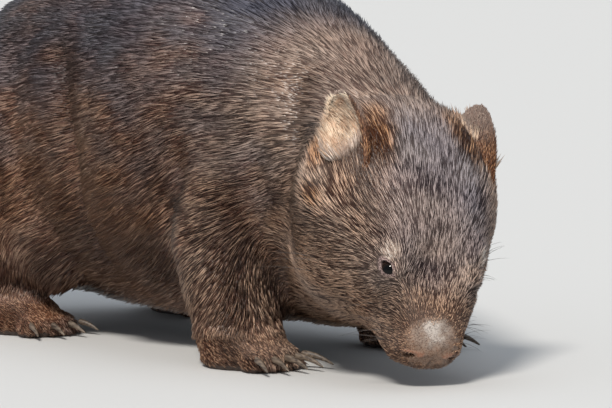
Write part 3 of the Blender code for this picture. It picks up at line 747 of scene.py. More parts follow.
def grain(name, size, detail):
    """Fine skin grain: a height and a mask that change over the surface."""
    group, given, result = node_group(
        name,
        [("Vector", "NodeSocketVector", (0.0, 0.0, 0.0)), ("Scale", "NodeSocketFloat", size)],
        [("Height", "NodeSocketFloat"), ("Mask", "NodeSocketFloat")],
    )
    link = group.links.new
    noise = group.nodes.new("ShaderNodeTexNoise")
    noise.inputs["Detail"].default_value = detail
    cells = group.nodes.new("ShaderNodeTexVoronoi")
    cells.feature = "F1"
    for node in (noise, cells):
        link(given.outputs["Vector"], node.inputs["Vector"])
        link(given.outputs["Scale"], node.inputs["Scale"])
    height = reckoned(group, "MULTIPLY_ADD", cells.outputs["Distance"], 0.7, noise.outputs["Fac"])
    link(height, result.inputs["Height"])
    link(noise.outputs["Fac"], result.inputs["Mask"])
    return group


def new_material(name):
    made = bpy.data.materials.new(name)
    made.use_nodes = True
    shader = made.node_tree.nodes["Principled BSDF"]
    shader.inputs["Metallic"].default_value = 0.0
    return made, made.node_tree, shader


def attribute(tree, name):
    node = tree.nodes.new("ShaderNodeAttribute")
    node.attribute_name = name
    return node


def grain_in(tree, group, scale):
    """A grain group that reads the piece's own place."""
    place = tree.nodes.new("ShaderNodeTexCoord")
    node = tree.nodes.new("ShaderNodeGroup")
    node.node_tree = group
    node.inputs["Scale"].default_value = scale
    tree.links.new(place.outputs["Object"], node.inputs["Vector"])
    return node


def bumped(tree, shader, height, distance, strength):
    bump = tree.nodes.new("ShaderNodeBump")
    bump.inputs["Distance"].default_value = distance
    bump.inputs["Strength"].default_value = strength
    tree.links.new(height, bump.inputs["Height"])
    tree.links.new(bump.outputs["Normal"], shader.inputs["Normal"])
    return bump


def tuft_material(looks, colours):
    made, tree, shader = new_material("Coat hair")
    marks = attribute(tree, "marks")
    strand = attribute(tree, "strand")
    parts = tree.nodes.new("ShaderNodeSeparateColor")
    tree.links.new(strand.outputs["Color"], parts.inputs[0])
    node = tree.nodes.new("ShaderNodeGroup")
    node.node_tree = colours
    tree.links.new(marks.outputs["Color"], node.inputs["Marks"])
    tree.links.new(parts.outputs[0], node.inputs["Tone"])
    tree.links.new(parts.outputs[1], node.inputs["Strand"])
    tree.links.new(parts.outputs[2], node.inputs["Along"])
    tree.links.new(strand.outputs["Alpha"], node.inputs["Strength"])
    tree.links.new(node.outputs["Color"], shader.inputs["Base Color"])
    shader.inputs["Roughness"].default_value = looks.hair_roughness
    shader.inputs["Specular IOR Level"].default_value = 0.45
    return made


def cream_material(looks):
    """Long cream hairs in the cup of the ear, browner at their roots."""
    made, tree, shader = new_material("Cream hair")
    strand = attribute(tree, "strand")
    parts = tree.nodes.new("ShaderNodeSeparateColor")
    tree.links.new(strand.outputs["Color"], parts.inputs[0])
    colour = mixed(tree, parts.outputs[0], four(looks.cup_tan), four(looks.cup_cream))
    along = ranged(tree, parts.outputs[2], 0.0, 0.5, 0.45, 1.0)
    colour = mixed(tree, along, four(looks.warm_dark), colour)
    tree.links.new(colour, shader.inputs["Base Color"])
    shader.inputs["Roughness"].default_value = looks.hair_roughness
    shader.inputs["Specular IOR Level"].default_value = 0.45
    return made


def skin_material(looks, colours, grains):
    """Skin under the coat, the bare nose pad, the lids and the soles in one surface."""
    made, tree, shader = new_material("Skin")
    marks = attribute(tree, "marks")
    bare = attribute(tree, "bare")
    parts = tree.nodes.new("ShaderNodeSeparateColor")
    tree.links.new(bare.outputs["Color"], parts.inputs[0])
    fine = grain_in(tree, grains, 760.0)
    broad = grain_in(tree, grains, 140.0)
    node = tree.nodes.new("ShaderNodeGroup")
    node.node_tree = colours
    tree.links.new(marks.outputs["Color"], node.inputs["Marks"])
    tree.links.new(ranged(tree, broad.outputs["Mask"], 0.0, 1.0, 0.0, 0.6), node.inputs["Tone"])
    node.inputs["Strand"].default_value = 0.0
    node.inputs["Along"].default_value = 0.0
    nose = mixed(tree, ranged(tree, broad.outputs["Mask"], 0.30, 0.70), four(looks.nose_dark), four(looks.nose_light))
    # Pale dry skin with painted sheen on top of the nose pad, broken up by the fine grain.
    dry = reckoned(tree, "MULTIPLY", parts.outputs[1], ranged(tree, fine.outputs["Height"], 0.55, 1.05, 0.20, 1.0))
    nose = mixed(tree, dry, nose, four(looks.nose_top_sheen))
    nose = mixed(tree, bare.outputs["Alpha"], nose, four(looks.nose_wing))
    grains_share = reckoned(tree, "MULTIPLY", ranged(tree, fine.outputs["Height"], 0.60, 1.0), 0.42)
    nose = mixed(tree, grains_share, nose, four(looks.nose_grain))
    # Painted shade in the nostrils, the mouth's slit and the groove of the nose.
    nose = mixed(tree, parts.outputs[2], nose, four(looks.recess_shade))
    colour = mixed(tree, parts.outputs[0], node.outputs["Color"], nose)
    lids = attribute(tree, "lids")
    lid_parts = tree.nodes.new("ShaderNodeSeparateColor")
    tree.links.new(lids.outputs["Color"], lid_parts.inputs[0])
    lid = mixed(tree, ranged(tree, fine.outputs["Mask"], 0.38, 0.62), four(looks.lid_dark), four(looks.lid_pink))
    colour = mixed(tree, lid_parts.outputs[0], colour, lid)
    # Painted shade in the socket behind the eyeball.
    colour = mixed(tree, lid_parts.outputs[1], colour, four(looks.recess_shade))
    colour = mixed(tree, lid_parts.outputs[2], colour, four(looks.sole_grey))
    tree.links.new(colour, shader.inputs["Base Color"])
    rough = ranged(tree, parts.outputs[0], 0.0, 1.0, 0.75, 0.42)
    tree.links.new(rough, shader.inputs["Roughness"])
    shader.inputs["Specular IOR Level"].default_value = 0.45
    bumped(tree, shader, fine.outputs["Height"], 0.0011, 0.75)
    return made


def eye_material(looks):
    made, tree, shader = new_material("Eyeball")
    place = attribute(tree, "eye")
    parts = tree.nodes.new("ShaderNodeSeparateColor")
    tree.links.new(place.outputs["Color"], parts.inputs[0])
    noise = tree.nodes.new("ShaderNodeTexNoise")
    noise.inputs["Scale"].default_value = 900.0
    where = tree.nodes.new("ShaderNodeTexCoord")
    tree.links.new(where.outputs["Object"], noise.inputs["Vector"])
    iris = mixed(tree, noise.outputs["Fac"], four(looks.iris_dark), four(looks.iris_brown))
    colour = mixed(tree, parts.outputs[0], four(looks.eye_white), iris)
    colour = mixed(tree, parts.outputs[1], colour, (0.002, 0.002, 0.002, 1.0))
    tree.links.new(colour, shader.inputs["Base Color"])
    shader.inputs["Roughness"].default_value = 0.05
    shader.inputs["Specular IOR Level"].default_value = 0.19
    return made


def claw_material(looks):
    """Worn horn: long streaks with dull scratches."""
    made, tree, shader = new_material("Claw horn")
    place = tree.nodes.new("ShaderNodeTexCoord")
    streaks = tree.nodes.new("ShaderNodeMapping")
    streaks.inputs["Scale"].default_value = (60.0, 700.0, 500.0)
    noise = tree.nodes.new("ShaderNodeTexNoise")
    noise.inputs["Scale"].default_value = 1.0
    noise.inputs["Detail"].default_value = 4.0
    tree.links.new(place.outputs["Object"], streaks.inputs["Vector"])
    tree.links.new(streaks.outputs["Vector"], noise.inputs["Vector"])
    colour = mixed(tree, ranged(tree, noise.outputs["Fac"], 0.35, 0.68), four(looks.claw_dark), four(looks.claw_light))
    tree.links.new(colour, shader.inputs["Base Color"])
    rough = ranged(tree, noise.outputs["Fac"], 0.3, 0.7, 0.34, 0.58)
    tree.links.new(rough, shader.inputs["Roughness"])
    bumped(tree, shader, noise.outputs["Fac"], 0.0004, 0.5)
    return made


def whisker_material():
    made, _, shader = new_material("Whisker")
    shader.inputs["Base Color"].default_value = (0.045, 0.032, 0.026, 1.0)
    shader.inputs["Roughness"].default_value = 0.38
    return made


# Settings


def colour_setting(name, about, default):
    return FloatVectorProperty(name=name, description=about, subtype="COLOR", size=3, min=0.0, max=1.0, default=default)


class WombatLooks(bpy.types.PropertyGroup):
    dark_brown: colour_setting("Dark brown", "Darkest hairs of the coat", (0.018, 0.010, 0.008))
    mid_brown: colour_setting("Mid brown", "Common hairs of the coat", (0.136, 0.064, 0.050))
    warm_dark: colour_setting("Warm dark", "Dark hairs of the warm places", (0.040, 0.014, 0.007))
    warm_light: colour_setting("Warm light", "Light hairs of the warm places", (0.255, 0.098, 0.042))
    # Painted sheen: the two bluish colours below stand for sky sheen on the crown and the back.
    sheen_grey_dark: colour_setting("Grey dark", "Dark hairs of the crown and the back", (0.024, 0.022, 0.027))
    sheen_grey_light: colour_setting("Grey light", "Light hairs of the crown and the back", ((0.058, 0.059, 0.085)))
    pale_tan: colour_setting("Pale tan", "Hair over the eyes and at the ears", (0.560, 0.430, 0.360))
    strand_tan: colour_setting("Tan strand", "Tips of the light strands", (0.880, 0.640, 0.490))
    strand_warm: colour_setting("Warm strand", "Tips of the light strands in the warm places", (0.800, 0.430, 0.215))
    # Painted sheen: bluish tips of the light strands on crown and back.
    strand_grey_sheen: colour_setting("Grey strand", "Tips of the light strands on crown and back", ((0.375, 0.382, 0.48)))
    strand_pale: colour_setting("Pale strand", "Tips of the strands in the pale places", (1.000, 0.900, 0.810))
    cup_tan: colour_setting("Cup tan", "Darker hairs in the cup of the ear", (0.520, 0.280, 0.160))
    cup_cream: colour_setting("Cup cream", "Light hairs in the cup of the ear", (1.000, 0.840, 0.660))
    nose_dark: colour_setting("Nose dark", "Dark skin of the nose pad", (0.070, 0.030, 0.016))
    nose_light: colour_setting("Nose light", "Light skin of the nose pad", (0.215, 0.108, 0.060))
    # Painted sheen: the pale top of the nose pad is dry skin with a sheen painted into it.
    nose_top_sheen: colour_setting("Nose top", "Pale dry skin on top of the nose pad", (0.900, 0.840, 0.780))
    nose_grain: colour_setting("Nose grain", "Pale grains of the nose pad", (0.400, 0.290, 0.215))
    nose_wing: colour_setting("Nose wing", "Reddish skin beside the nostrils", (0.300, 0.115, 0.060))
    # Painted shade: the dark of nostrils, mouth, the nose's groove and sockets.
    recess_shade: colour_setting("Inner dark", "Inside of nostrils, mouth and sockets", (0.022, 0.010, 0.008))
    lid_dark: colour_setting("Lid dark", "Dark skin of the lids", (0.060, 0.036, 0.032))
    lid_pink: colour_setting("Lid pink", "Pinkish skin of the lids", (0.430, 0.310, 0.285))
    sole_grey: colour_setting("Sole", "Bare skin under the feet", (0.090, 0.065, 0.055))
    eye_white: colour_setting("Eye rim", "Ball of the eye beside the iris", (0.030, 0.018, 0.015))
    iris_dark: colour_setting("Iris dark", "Dark parts of the iris", (0.004, 0.003, 0.002))
    iris_brown: colour_setting("Iris brown", "Light parts of the iris", (0.016, 0.008, 0.005))
    claw_dark: colour_setting("Claw dark", "Dark streaks of the horn", (0.050, 0.036, 0.028))
    claw_light: colour_setting("Claw light", "Light streaks of the horn", (0.230, 0.175, 0.130))
    floor_grey: colour_setting("Floor", "Colour of the stage floor", (0.680, 0.676, 0.665))
    hair_roughness: FloatProperty(name="Hair roughness", description="How dull the hairs are", default=0.36, min=0.0, max=1.0)


class WombatSizes(bpy.types.PropertyGroup):
    voxel: FloatProperty(name="Skin mesh", description="Size of the skin's faces", default=0.0034, min=0.002, max=0.01, unit="LENGTH")
    body_density: FloatProperty(name="Body tufts", description="Tufts to the square centimetre on the body", default=41.0, min=1.0)
    leg_density: FloatProperty(name="Leg tufts", description="Tufts to the square centimetre on the legs", default=33.0, min=1.0)
    head_density: FloatProperty(name="Head tufts", description="Tufts to the square centimetre on the head", default=96.0, min=1.0)
    face_density: FloatProperty(name="Face tufts", description="Tufts to the square centimetre on face and feet", default=140.0, min=1.0)
    hair_width: FloatProperty(name="Tuft width", description="Width of a tuft's root on the body", default=0.00098, unit="LENGTH")
    lens: FloatProperty(name="Lens", description="Focal length of the camera in millimetres", default=208.8, min=10.0)
    seed: IntProperty(name="Seed", description="Start of the coat's random draws", default=7)


# Pieces


def joined_flesh(voxel):
    """The flesh nodes' copies, merged, joined and made one closed surface."""
    copies = []
    for node in FLESH + ["eye_right", "eye_left"]:
        copy = linked(f"{node}_copy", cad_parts[node].data.copy())
        only(copy)
        bpy.ops.object.mode_set(mode="EDIT")
        bpy.ops.mesh.select_all(action="SELECT")
        bpy.ops.mesh.remove_doubles(threshold=0.00001)
        if node == "nose":
            bpy.ops.mesh.convex_hull()
        bpy.ops.object.mode_set(mode="OBJECT")
        applied(copy, "DISPLACE", strength=0.0005, mid_level=0.0)
        copies.append(copy)
    only(*copies)
    bpy.ops.object.join()
    skin = bpy.context.view_layer.objects.active
    skin.name = "skin"
    skin.data.materials.clear()
    applied(skin, "REMESH", mode="VOXEL", voxel_size=voxel)
    return skin


def eased(skin):
    """Takes the facets out of the skin, more on the body than on the face and the feet."""
    points = coordinates(skin.data)
    _, head, _, foot = regions(points)
    level = weigh(skin, "body", 1.0 - np.maximum(head, foot))
    applied(skin, "SMOOTH", factor=0.5, iterations=9)
    applied(skin, "SMOOTH", factor=0.5, iterations=32, vertex_group=level)


def drawn_in(skin):
    """Moves the skin inwards by the depth of the coat and keeps the soles flat on the floor."""
    points, normals = coordinates(skin.data), vertex_normals(skin.data)
    depth = coat_depth(points) - 0.0005 + folded(points)[0]
    under = (points[:, 2] < 0.010) & (normals[:, 2] < -0.2)
    depth[under] = 0.0
    points -= normals * depth[:, None]
    low = points[:, 2] < 0.0035
    points[low, 2] = np.where(under[low], 0.0002, points[low, 2])
    points[:, 2] = np.maximum(points[:, 2], 0.0002)
    move_vertices(skin.data, points)


def refined(skin):
    """Splits the faces of the face, then again those of the muzzle and the eyes, then those of lids and lips."""
    for step in range(3):
        middles = face_middles(skin.data)
        local, head, _, _ = regions(middles)
        height, angle, _ = mouth_line(local)
        eye = eye_distance(middles)
        by_nose = nose_measure(local)
        if step == 0:
            chosen = (local[:, 0] > -0.050) & (head > 0.3)
        elif step == 1:
            chosen = ((by_nose < 1.45) | (eye < 0.024)) & (head > 0.5)
        else:
            lips = (np.abs(height) < 0.0055) & (np.abs(angle) < MOUTH_SWEEP) & (local[:, 0] > 0.002)
            holes = np.zeros(len(middles), bool)
            for side in SIDES:
                spot = into(nostril_matrix(side), middles)
                holes |= np.linalg.norm(spot / (0.014, 0.0125, 0.0085), axis=1) < 1.0
            chosen = ((eye < 0.0170) | lips | holes) & (head > 0.5)
        select_faces(skin, chosen)
        bpy.ops.mesh.subdivide(number_cuts=1, smoothness=0.0)
        bpy.ops.mesh.vertices_smooth(factor=0.5, repeat=2)
        bpy.ops.object.mode_set(mode="OBJECT")


def carve_lids(points):
    """Draws the skin at each eye out to lids with an open almond, and pushes it behind the ball inside that."""
    lid_share = np.zeros(len(points))
    inner_share = np.zeros(len(points))
    for side in SIDES:
        local = eye_local(points, side)
        x, y, z = local.T
        reach = np.sqrt((x / LID_FORM[0]) ** 2 + (y / LID_FORM[1]) ** 2)
        near = (reach < 1.0) & (z > -0.001)
        x, y, z, reach = x[near] - OPENING_SHIFT, y[near] - OPENING_RISE, z[near], reach[near]
        almond = almond_of(x, y, *OPENING)
        on_rim = (almond > 0.76) & (almond < 1.0)
        snap = np.where(on_rim, 1.0 / np.maximum(almond, 0.5), 1.0)
        x, y = x * snap + OPENING_SHIFT, y * snap + OPENING_RISE
        inside = almond <= 0.76
        almond = np.where(on_rim, 1.0, almond)
        across = x * x + y * y
        ball = np.sqrt(np.maximum(EYE_RADIUS**2 - across, 0.0000001))
        form = LID_FORM[2] * np.sqrt(np.maximum(1.0 - (x / LID_FORM[0]) ** 2 - (y / LID_FORM[1]) ** 2, 0.0))
        rim = smooth(almond, 1.0, 1.22)
        upper, lower = smooth(y, 0.0, 0.002), smooth(-y, 0.0, 0.002)
        fold = 0.0007 * np.exp(-(((almond - 1.72) / 0.10) ** 2)) * upper
        fold += 0.0004 * np.exp(-(((almond - 2.15) / 0.10) ** 2)) * upper
        fold += 0.0005 * np.exp(-(((almond - 1.60) / 0.09) ** 2)) * lower
        lid = blend(ball + 0.0003, form + 0.0004 * upper - 0.0004 * lower - fold, rim)
        lid = blend(lid, z, smooth(reach, 0.62, 0.98))
        lid = np.where(inside, ball - 0.0028, lid)
        local[near] = np.stack([x, y, lid], axis=1)
        points[near] = eye_world(local[near], side)
        band = (1.0 - smooth(almond, 1.50, 1.95)) * smooth(almond, 0.98, 1.02)
        lid_share[near] = np.maximum(lid_share[near], band)
        # Painted shade: the skin inside the opening, behind the ball, is darkened.
        inner_share[near] = np.maximum(inner_share[near], 1.0 - smooth(almond, 1.02, 1.12))
    return lid_share, inner_share


def carve_nose(points, normals):
    """Cuts the nostrils, the groove between them and the line of the lips, and raises what borders them."""
    local = into_head(points)
    hollow, wings = np.zeros(len(points)), np.zeros(len(points))
    for side in SIDES:
        matrix = nostril_matrix(side)
        deep, across, high = into(matrix, points).T
        outward = across * SIDES[side]
        bent = high - 26.0 * np.maximum(outward, 0.0) ** 2 + 0.0004
        measure = np.sqrt((across / 0.0068) ** 2 + (bent / 0.0031) ** 2)
        front = (deep > -0.006) & (deep < 0.02)
        cut = np.where(front, 1.0 - smooth(measure, 0.30, 1.05), 0.0)
        wing = np.where(front, np.exp(-(((measure - 1.55) / 0.42) ** 2)), 0.0)
        axis = np.array(matrix.to_3x3().col[0])
        points -= axis * (0.0062 * cut)[:, None]
        points += normals * (0.0009 * wing * (bent > -0.001))[:, None]
        hollow = np.maximum(hollow, smooth(cut, 0.25, 0.75))
        wings = np.maximum(wings, wing * (bent > -0.001))
    pad = 1.0 - smooth(nose_measure(local), 0.95, 1.0)
    groove = np.exp(-((local[:, 1] / 0.0010) ** 2)) * smooth(-local[:, 2], 0.036, 0.044) * smooth(local[:, 0], 0.045, 0.052)
    groove *= 1.0 - smooth(-local[:, 2], 0.058, 0.062)
    points -= normals * (0.0013 * groove)[:, None]
    rim = np.exp(-(((nose_measure(local) - 1.02) / 0.022) ** 2))
    points -= normals * (0.0005 * rim)[:, None]
    height, angle, _ = mouth_line(local)
    at_mouth = smooth(local[:, 0], 0.000, 0.008) * (1.0 - smooth(np.abs(angle), MOUTH_SWEEP * 0.9, MOUTH_SWEEP))
    at_mouth *= smooth(-local[:, 2], 0.030, 0.040)
    slit = np.exp(-((height / 0.0009) ** 2)) * at_mouth
    lips = np.exp(-(((np.abs(height) - 0.0028) / 0.0016) ** 2)) * at_mouth
    inward = np.stack([-np.cos(angle), -np.sin(angle), np.zeros(len(angle))], axis=1)
    points += out_of_head(inward) * (0.0024 * slit)[:, None]
    points += normals * (0.0006 * lips)[:, None]
    # The hollow and groove shares are where shade is painted.
    return pad, np.maximum(hollow, smooth(slit, 0.35, 0.8)), 0.6 * groove, wings


def skin_unwrap(skin):
    """Lays the skin out flat, in pieces that follow its own shape."""
    only(skin)
    bpy.ops.object.mode_set(mode="EDIT")
    bpy.ops.mesh.select_all(action="SELECT")
    bpy.ops.uv.smart_project(angle_limit=math.radians(66), island_margin=0.001)
    bpy.ops.object.mode_set(mode="OBJECT")
    skin.data.uv_layers.active.name = "OFBake"


class WOMBAT_OT_skin(bpy.types.Operator):
    """One skin in place of all the flesh, with lids, nostrils and lips"""

    bl_idname = "wombat.skin"
    bl_label = "Make Skin"

    def execute(self, context):
        sizes, looks = context.scene.wombat_sizes, context.scene.wombat_looks
        skin = joined_flesh(sizes.voxel)
        eased(skin)
        drawn_in(skin)
        refined(skin)
        skin.vertex_groups.clear()
        points, normals = coordinates(skin.data), vertex_normals(skin.data)
        points += normals * (0.0004 * waves(points, 0.016, 21) * smooth(into_head(points)[:, 0], -0.02, 0.02))[:, None]
        pad, hollow, groove, wing = carve_nose(points, normals)
        lids, inner = carve_lids(points)
        points[:, 2] = np.maximum(points[:, 2], 0.0002)
        move_vertices(skin.data, points)
        normals = vertex_normals(skin.data)
        local = into_head(points)
        # Painted sheen: the share of the pale patch on top of the nose pad, dry skin with sheen painted on it.
        sheen = np.linalg.norm((local - NOSE_SHEEN) / (1.0, 1.25, 1.0), axis=1)
        sheen += 0.0022 * waves(points, 0.0050, 22) + 0.0012 * waves(points, 0.0018, 23)
        top = 0.74 * (1.0 - smooth(sheen, 0.0045, 0.0115)) + 0.26 * (1.0 - smooth(sheen, 0.009, 0.023))
        marks = markings(points, normals)
        sole = bare_skin(points, normals) * (points[:, 2] < 0.006) * (normals[:, 2] < -0.35)
        bare = np.stack([np.maximum(marks[:, 3], pad), top, np.maximum(hollow, groove), wing], axis=1)
        write_colour(skin.data, "marks", np.concatenate([marks[:, :3], np.ones((len(marks), 1))], axis=1))
        write_colour(skin.data, "bare", bare)
        write_colour(skin.data, "lids", np.stack([lids, inner, sole, np.ones(len(lids))], axis=1))
        skin_unwrap(skin)
        only(skin)
        bpy.ops.object.shade_smooth()
        colours = bpy.data.node_groups.get("Coat Colours") or coat_colours(looks)
        grains = bpy.data.node_groups.get("Skin Grain") or grain("Skin Grain", 900.0, 3.0)
        skin.data.materials.append(skin_material(looks, colours, grains))
        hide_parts(*FLESH)
        finished(skin, "coat")
        return {"FINISHED"}


def ear_shell(side):
    """A rounded leaf bent into a cup, thin as the ear's skin."""
    bpy.ops.object.select_all(action="DESELECT")
    bpy.ops.mesh.primitive_grid_add(x_subdivisions=28, y_subdivisions=34, size=2.0)
    ear = bpy.context.view_layer.objects.active
    ear.name = f"ear_skin_{side}"
    across, share = coordinates(ear.data)[:, 0], (coordinates(ear.data)[:, 1] + 1) / 2
    width = ear_width(share) - 0.0016
    height = share * (EAR_HEIGHT + EAR_SUNK - 0.002) - EAR_SUNK
    bend = across * EAR_BEND
    deep = EAR_CUP * width / EAR_HALF_WIDTH
    cup = np.stack([-deep * np.cos(bend), width * np.sin(bend) / math.sin(EAR_BEND), height], axis=1)
    cup[:, 0] += 0.0012 * np.sin(across * 9.0) * smooth(share, 0.1, 0.4) * (1.0 - share)
    move_vertices(ear.data, out_of(ear_matrix(side), cup))
    applied(ear, "SOLIDIFY", thickness=0.0026, offset=0.0)
    applied(ear, "SUBSURF", levels=1, render_levels=1)
    return ear


def ear_places(points, side):
    """The share of the way up the ear, and how far across it, from -1 to 1."""
    local = into(ear_matrix(side), points)
    share = np.clip((local[:, 2] + EAR_SUNK) / (EAR_HEIGHT + EAR_SUNK), 0.0, 1.0)
    return share, np.clip(local[:, 1] / ear_width(share), -1.0, 1.0), local


def inside_cup(points, normals, side):
    """1 on the inner face of the ear."""
    share, across, local = ear_places(points, side)
    turned = normals @ np.array(ear_matrix(side).to_3x3())
    bend = across * EAR_BEND
    middle = np.stack([np.cos(bend), -np.sin(bend), np.zeros(len(bend))], axis=1)
    return (np.sum(turned * middle, axis=1) > 0.0).astype(float)


def ear_marks(points, normals, side):
    share, across, _ = ear_places(points, side)
    inner = inside_cup(points, normals, side)
    low = 1.0 - smooth(share, 0.35, 0.80)
    edge = smooth(np.abs(across), 0.80, 0.96)
    front = smooth(-across * SIDES[side], CUP_FRONTS[side][0] - 0.10, CUP_FRONTS[side][1])
    warm = blend(0.62 + 0.36 * low, 0.35, inner)
    warm = np.maximum(warm, np.maximum(0.80 * edge, 0.90 * front * inner))
    pale = blend(0.38 * smooth(share, 0.52, 0.88), (0.75 - 0.60 * edge) * (1.0 - 0.9 * front), inner)
    # Painted sheen: a little bluish sky sheen near the top of the ear's back.
    grey_sheen = 0.25 * smooth(share, 0.5, 0.9) * (1.0 - inner)
    return np.clip(np.stack([warm, pale, grey_sheen, np.zeros(len(warm))], axis=1), 0.0, 1.0)


class WOMBAT_OT_ears(bpy.types.Operator):
    """The thin cupped skin of both ears"""

    bl_idname = "wombat.ears"
    bl_label = "Make Ears"

    def execute(self, context):
        looks = context.scene.wombat_looks
        for side in SIDES:
            ear = ear_shell(side)
            points, normals = coordinates(ear.data), vertex_normals(ear.data)
            marks = ear_marks(points, normals, side)
            write_colour(ear.data, "marks", np.concatenate([marks[:, :3], np.ones((len(marks), 1))], axis=1))
            nothing = np.zeros((len(points), 4))
            write_colour(ear.data, "bare", nothing)
            write_colour(ear.data, "lids", nothing)
            for layer in list(ear.data.uv_layers):
                ear.data.uv_layers.remove(layer)
            ear.data.uv_layers.new(name="OFBake")
            skin_unwrap(ear)
            only(ear)
            bpy.ops.object.shade_smooth()
            ear.data.materials.append(bpy.data.materials["Skin"])
            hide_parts(f"ear_{side}")
            finished(ear, "ear")
        return {"FINISHED"}


def tones_for(count, rng):
    """For each tuft its darkness, its chance to be a light strand, its sway and how strong its light is."""
    tone = np.clip(rng.beta(1.6, 2.2, count), 0.0, 1.0)
    return np.stack([tone, rng.random(count), rng.random(count), np.ones(count)], axis=1)


def body_density(sizes):
    def density(points, normals):
        local, head, leg, foot = regions(points)
        below = smooth(-normals[:, 2], 0.35, 0.80)
        wanted = blend(np.full(len(points), sizes.body_density), sizes.leg_density, leg)
        wanted *= 1.0 - 0.60 * below
        wanted = blend(wanted, 0.55 * sizes.face_density, foot)
        face = blend(sizes.head_density, sizes.face_density, smooth(local[:, 0], -0.045, 0.010))
        wanted = blend(wanted, face, head)
        return wanted * 10000.0 * (1.0 - bare_skin(points, normals)) * (1.0 - cup_share(points))

    return density


def coat_pieces(place, normal):
    """The name of the coat piece that each root belongs to."""
    local, head, leg, foot = regions(place)
    names = np.full(len(place), "coat_back", dtype="U24")
    names[(place[:, 1] < 0) & (normal[:, 2] < 0.55)] = "coat_flank_right"
    names[(place[:, 1] >= 0) & (normal[:, 2] < 0.55)] = "coat_flank_left"
    names[(place[:, 0] < -0.29) & (normal[:, 2] < 0.55)] = "coat_rump"
    names[normal[:, 2] < -0.55] = "coat_belly"
    names[(into_head(place)[:, 0] > -0.25) & (place[:, 0] > 0.17)] = "coat_neck"
    names[(leg > 0.5) & (place[:, 0] > 0.0)] = "coat_forelegs"
    names[(leg > 0.5) & (place[:, 0] <= 0.0)] = "coat_hind_legs"
    names[(head > 0.5) & (local[:, 1] < 0)] = "coat_head_right"
    names[(head > 0.5) & (local[:, 1] >= 0)] = "coat_head_left"
    return names


class WOMBAT_OT_coat(bpy.types.Operator):
    """The coat of the body, the legs and the head, in solid tufts"""

    bl_idname = "wombat.coat"
    bl_label = "Make Coat"

    def execute(self, context):
        sizes, looks = context.scene.wombat_sizes, context.scene.wombat_looks
        rng = np.random.default_rng(sizes.seed)
        skin = bpy.data.objects["skin"]
        place, normal, spot = scattered_roots(skin.data, body_density(sizes), rng)
        count = len(place)
        way = lie_of_coat(place, normal, rng)
        depth = coat_depth(place)
        length = hair_length(place) * rng.uniform(0.70, 1.15, count)
        width = sizes.hair_width * np.clip(hair_length(place) / 0.0235, 0.20, 1.0) ** 0.45
        width = width * rng.uniform(0.70, 1.20, count)
        tone = tones_for(count, rng)
        middle = place + way * (0.45 * length)[:, None]
        local, head, _, _ = regions(middle)
        tone[:, 1] += 0.07 * waves(place, 0.0045, 32) + (0.05 + 0.02 * head) * waves(place, 0.012, 33)
        for side in SIDES:
            before_ear = ear_front(local, 0.0, side)[0] * head
            tone[:, 1] -= 0.22 * before_ear
            tone[:, 0] *= 1.0 - 0.40 * before_ear
            to_ear = np.linalg.norm(local - np.array(along_side(EAR_ROOTS[side], side)), axis=1)
            near_ear = (1.0 - smooth(to_ear, 0.020, 0.052)) * head
            tone[:, 1] -= 0.14 * near_ear
            tone[:, 0] *= 1.0 - 0.25 * near_ear
        tone[:, 1] += 0.08 * (1.0 - smooth(eye_distance(middle), 0.014, 0.026)) * head
        marks = markings(middle, normal)
        # Fewer light strands on the head where the bluish sheen is painted.
        tone[:, 1] -= 0.07 * marks[:, 2] * head
        tone[:, 1] = np.clip(tone[:, 1], 0.0, 1.0)
        guard = smooth(tone[:, 1], 0.66, 0.74)
        length *= 1.0 + 0.12 * guard
        width *= (1.1 - (0.30 - 0.12 * head) * guard) * (1.0 - 0.15 * head)
        lift = np.maximum(depth, 0.0012) * (rng.uniform(0.40, 0.85, count) + (0.20 + 0.06 * head) * guard) + 0.0002
        lift = np.minimum(lift, length * 0.55)
        marks[:, 3] = 1.0
        flank = (1.0 - smooth(middle[:, 0], 0.05, 0.18)) * (1.0 - marks[:, 2])
        tone[:, 0] = np.clip(tone[:, 0] + 0.16 * waves(place, 0.030, 31) + 0.34 * flank, 0.0, 1.0)
        # Painted shade along the bottoms of the folds: darker tufts with dimmer light strands.
        fold_shade = folded(middle)[1]
        # Painted shade: tufts that face downwards are darker and their light strands dimmer.
        under = smooth(-normal[:, 2], 0.10, 0.70)
        tone[:, 0] *= (1.0 - 0.70 * fold_shade) * (1.0 - 0.35 * under)
        near = smooth(middle[:, 0], 0.02, 0.17)
        # Light strands are dimmed where the bluish sheen is painted, most of all on the body.
        strength = blend(0.52 + 0.10 * near, 1.0, head) * (1.0 - 0.52 * marks[:, 2] * (1.0 - 0.6 * head))
        tone[:, 3] = strength * (1.0 - 0.90 * fold_shade) * (1.0 - 0.45 * under)
        names = coat_pieces(place, normal)
        material = tuft_material(looks, bpy.data.node_groups["Coat Colours"])
        for name in np.unique(names):
            chosen = np.flatnonzero(names == name)
            for number, part in enumerate(np.array_split(chosen, math.ceil(len(chosen) / 49000))):
                label = name if number == 0 else f"{name}_{number + 1}"
                mesh = tuft_mesh(
                    label,
                    place[part],
                    normal[part],
                    way[part],
                    spot[part],
                    length[part],
                    width[part],
                    lift[part],
                    marks[part],
                    tone[part],
                )
                mesh.materials.append(material)
                finished(linked(label, mesh), "coat")
                print("coat piece", label, len(part) * 4)
        return {"FINISHED"}


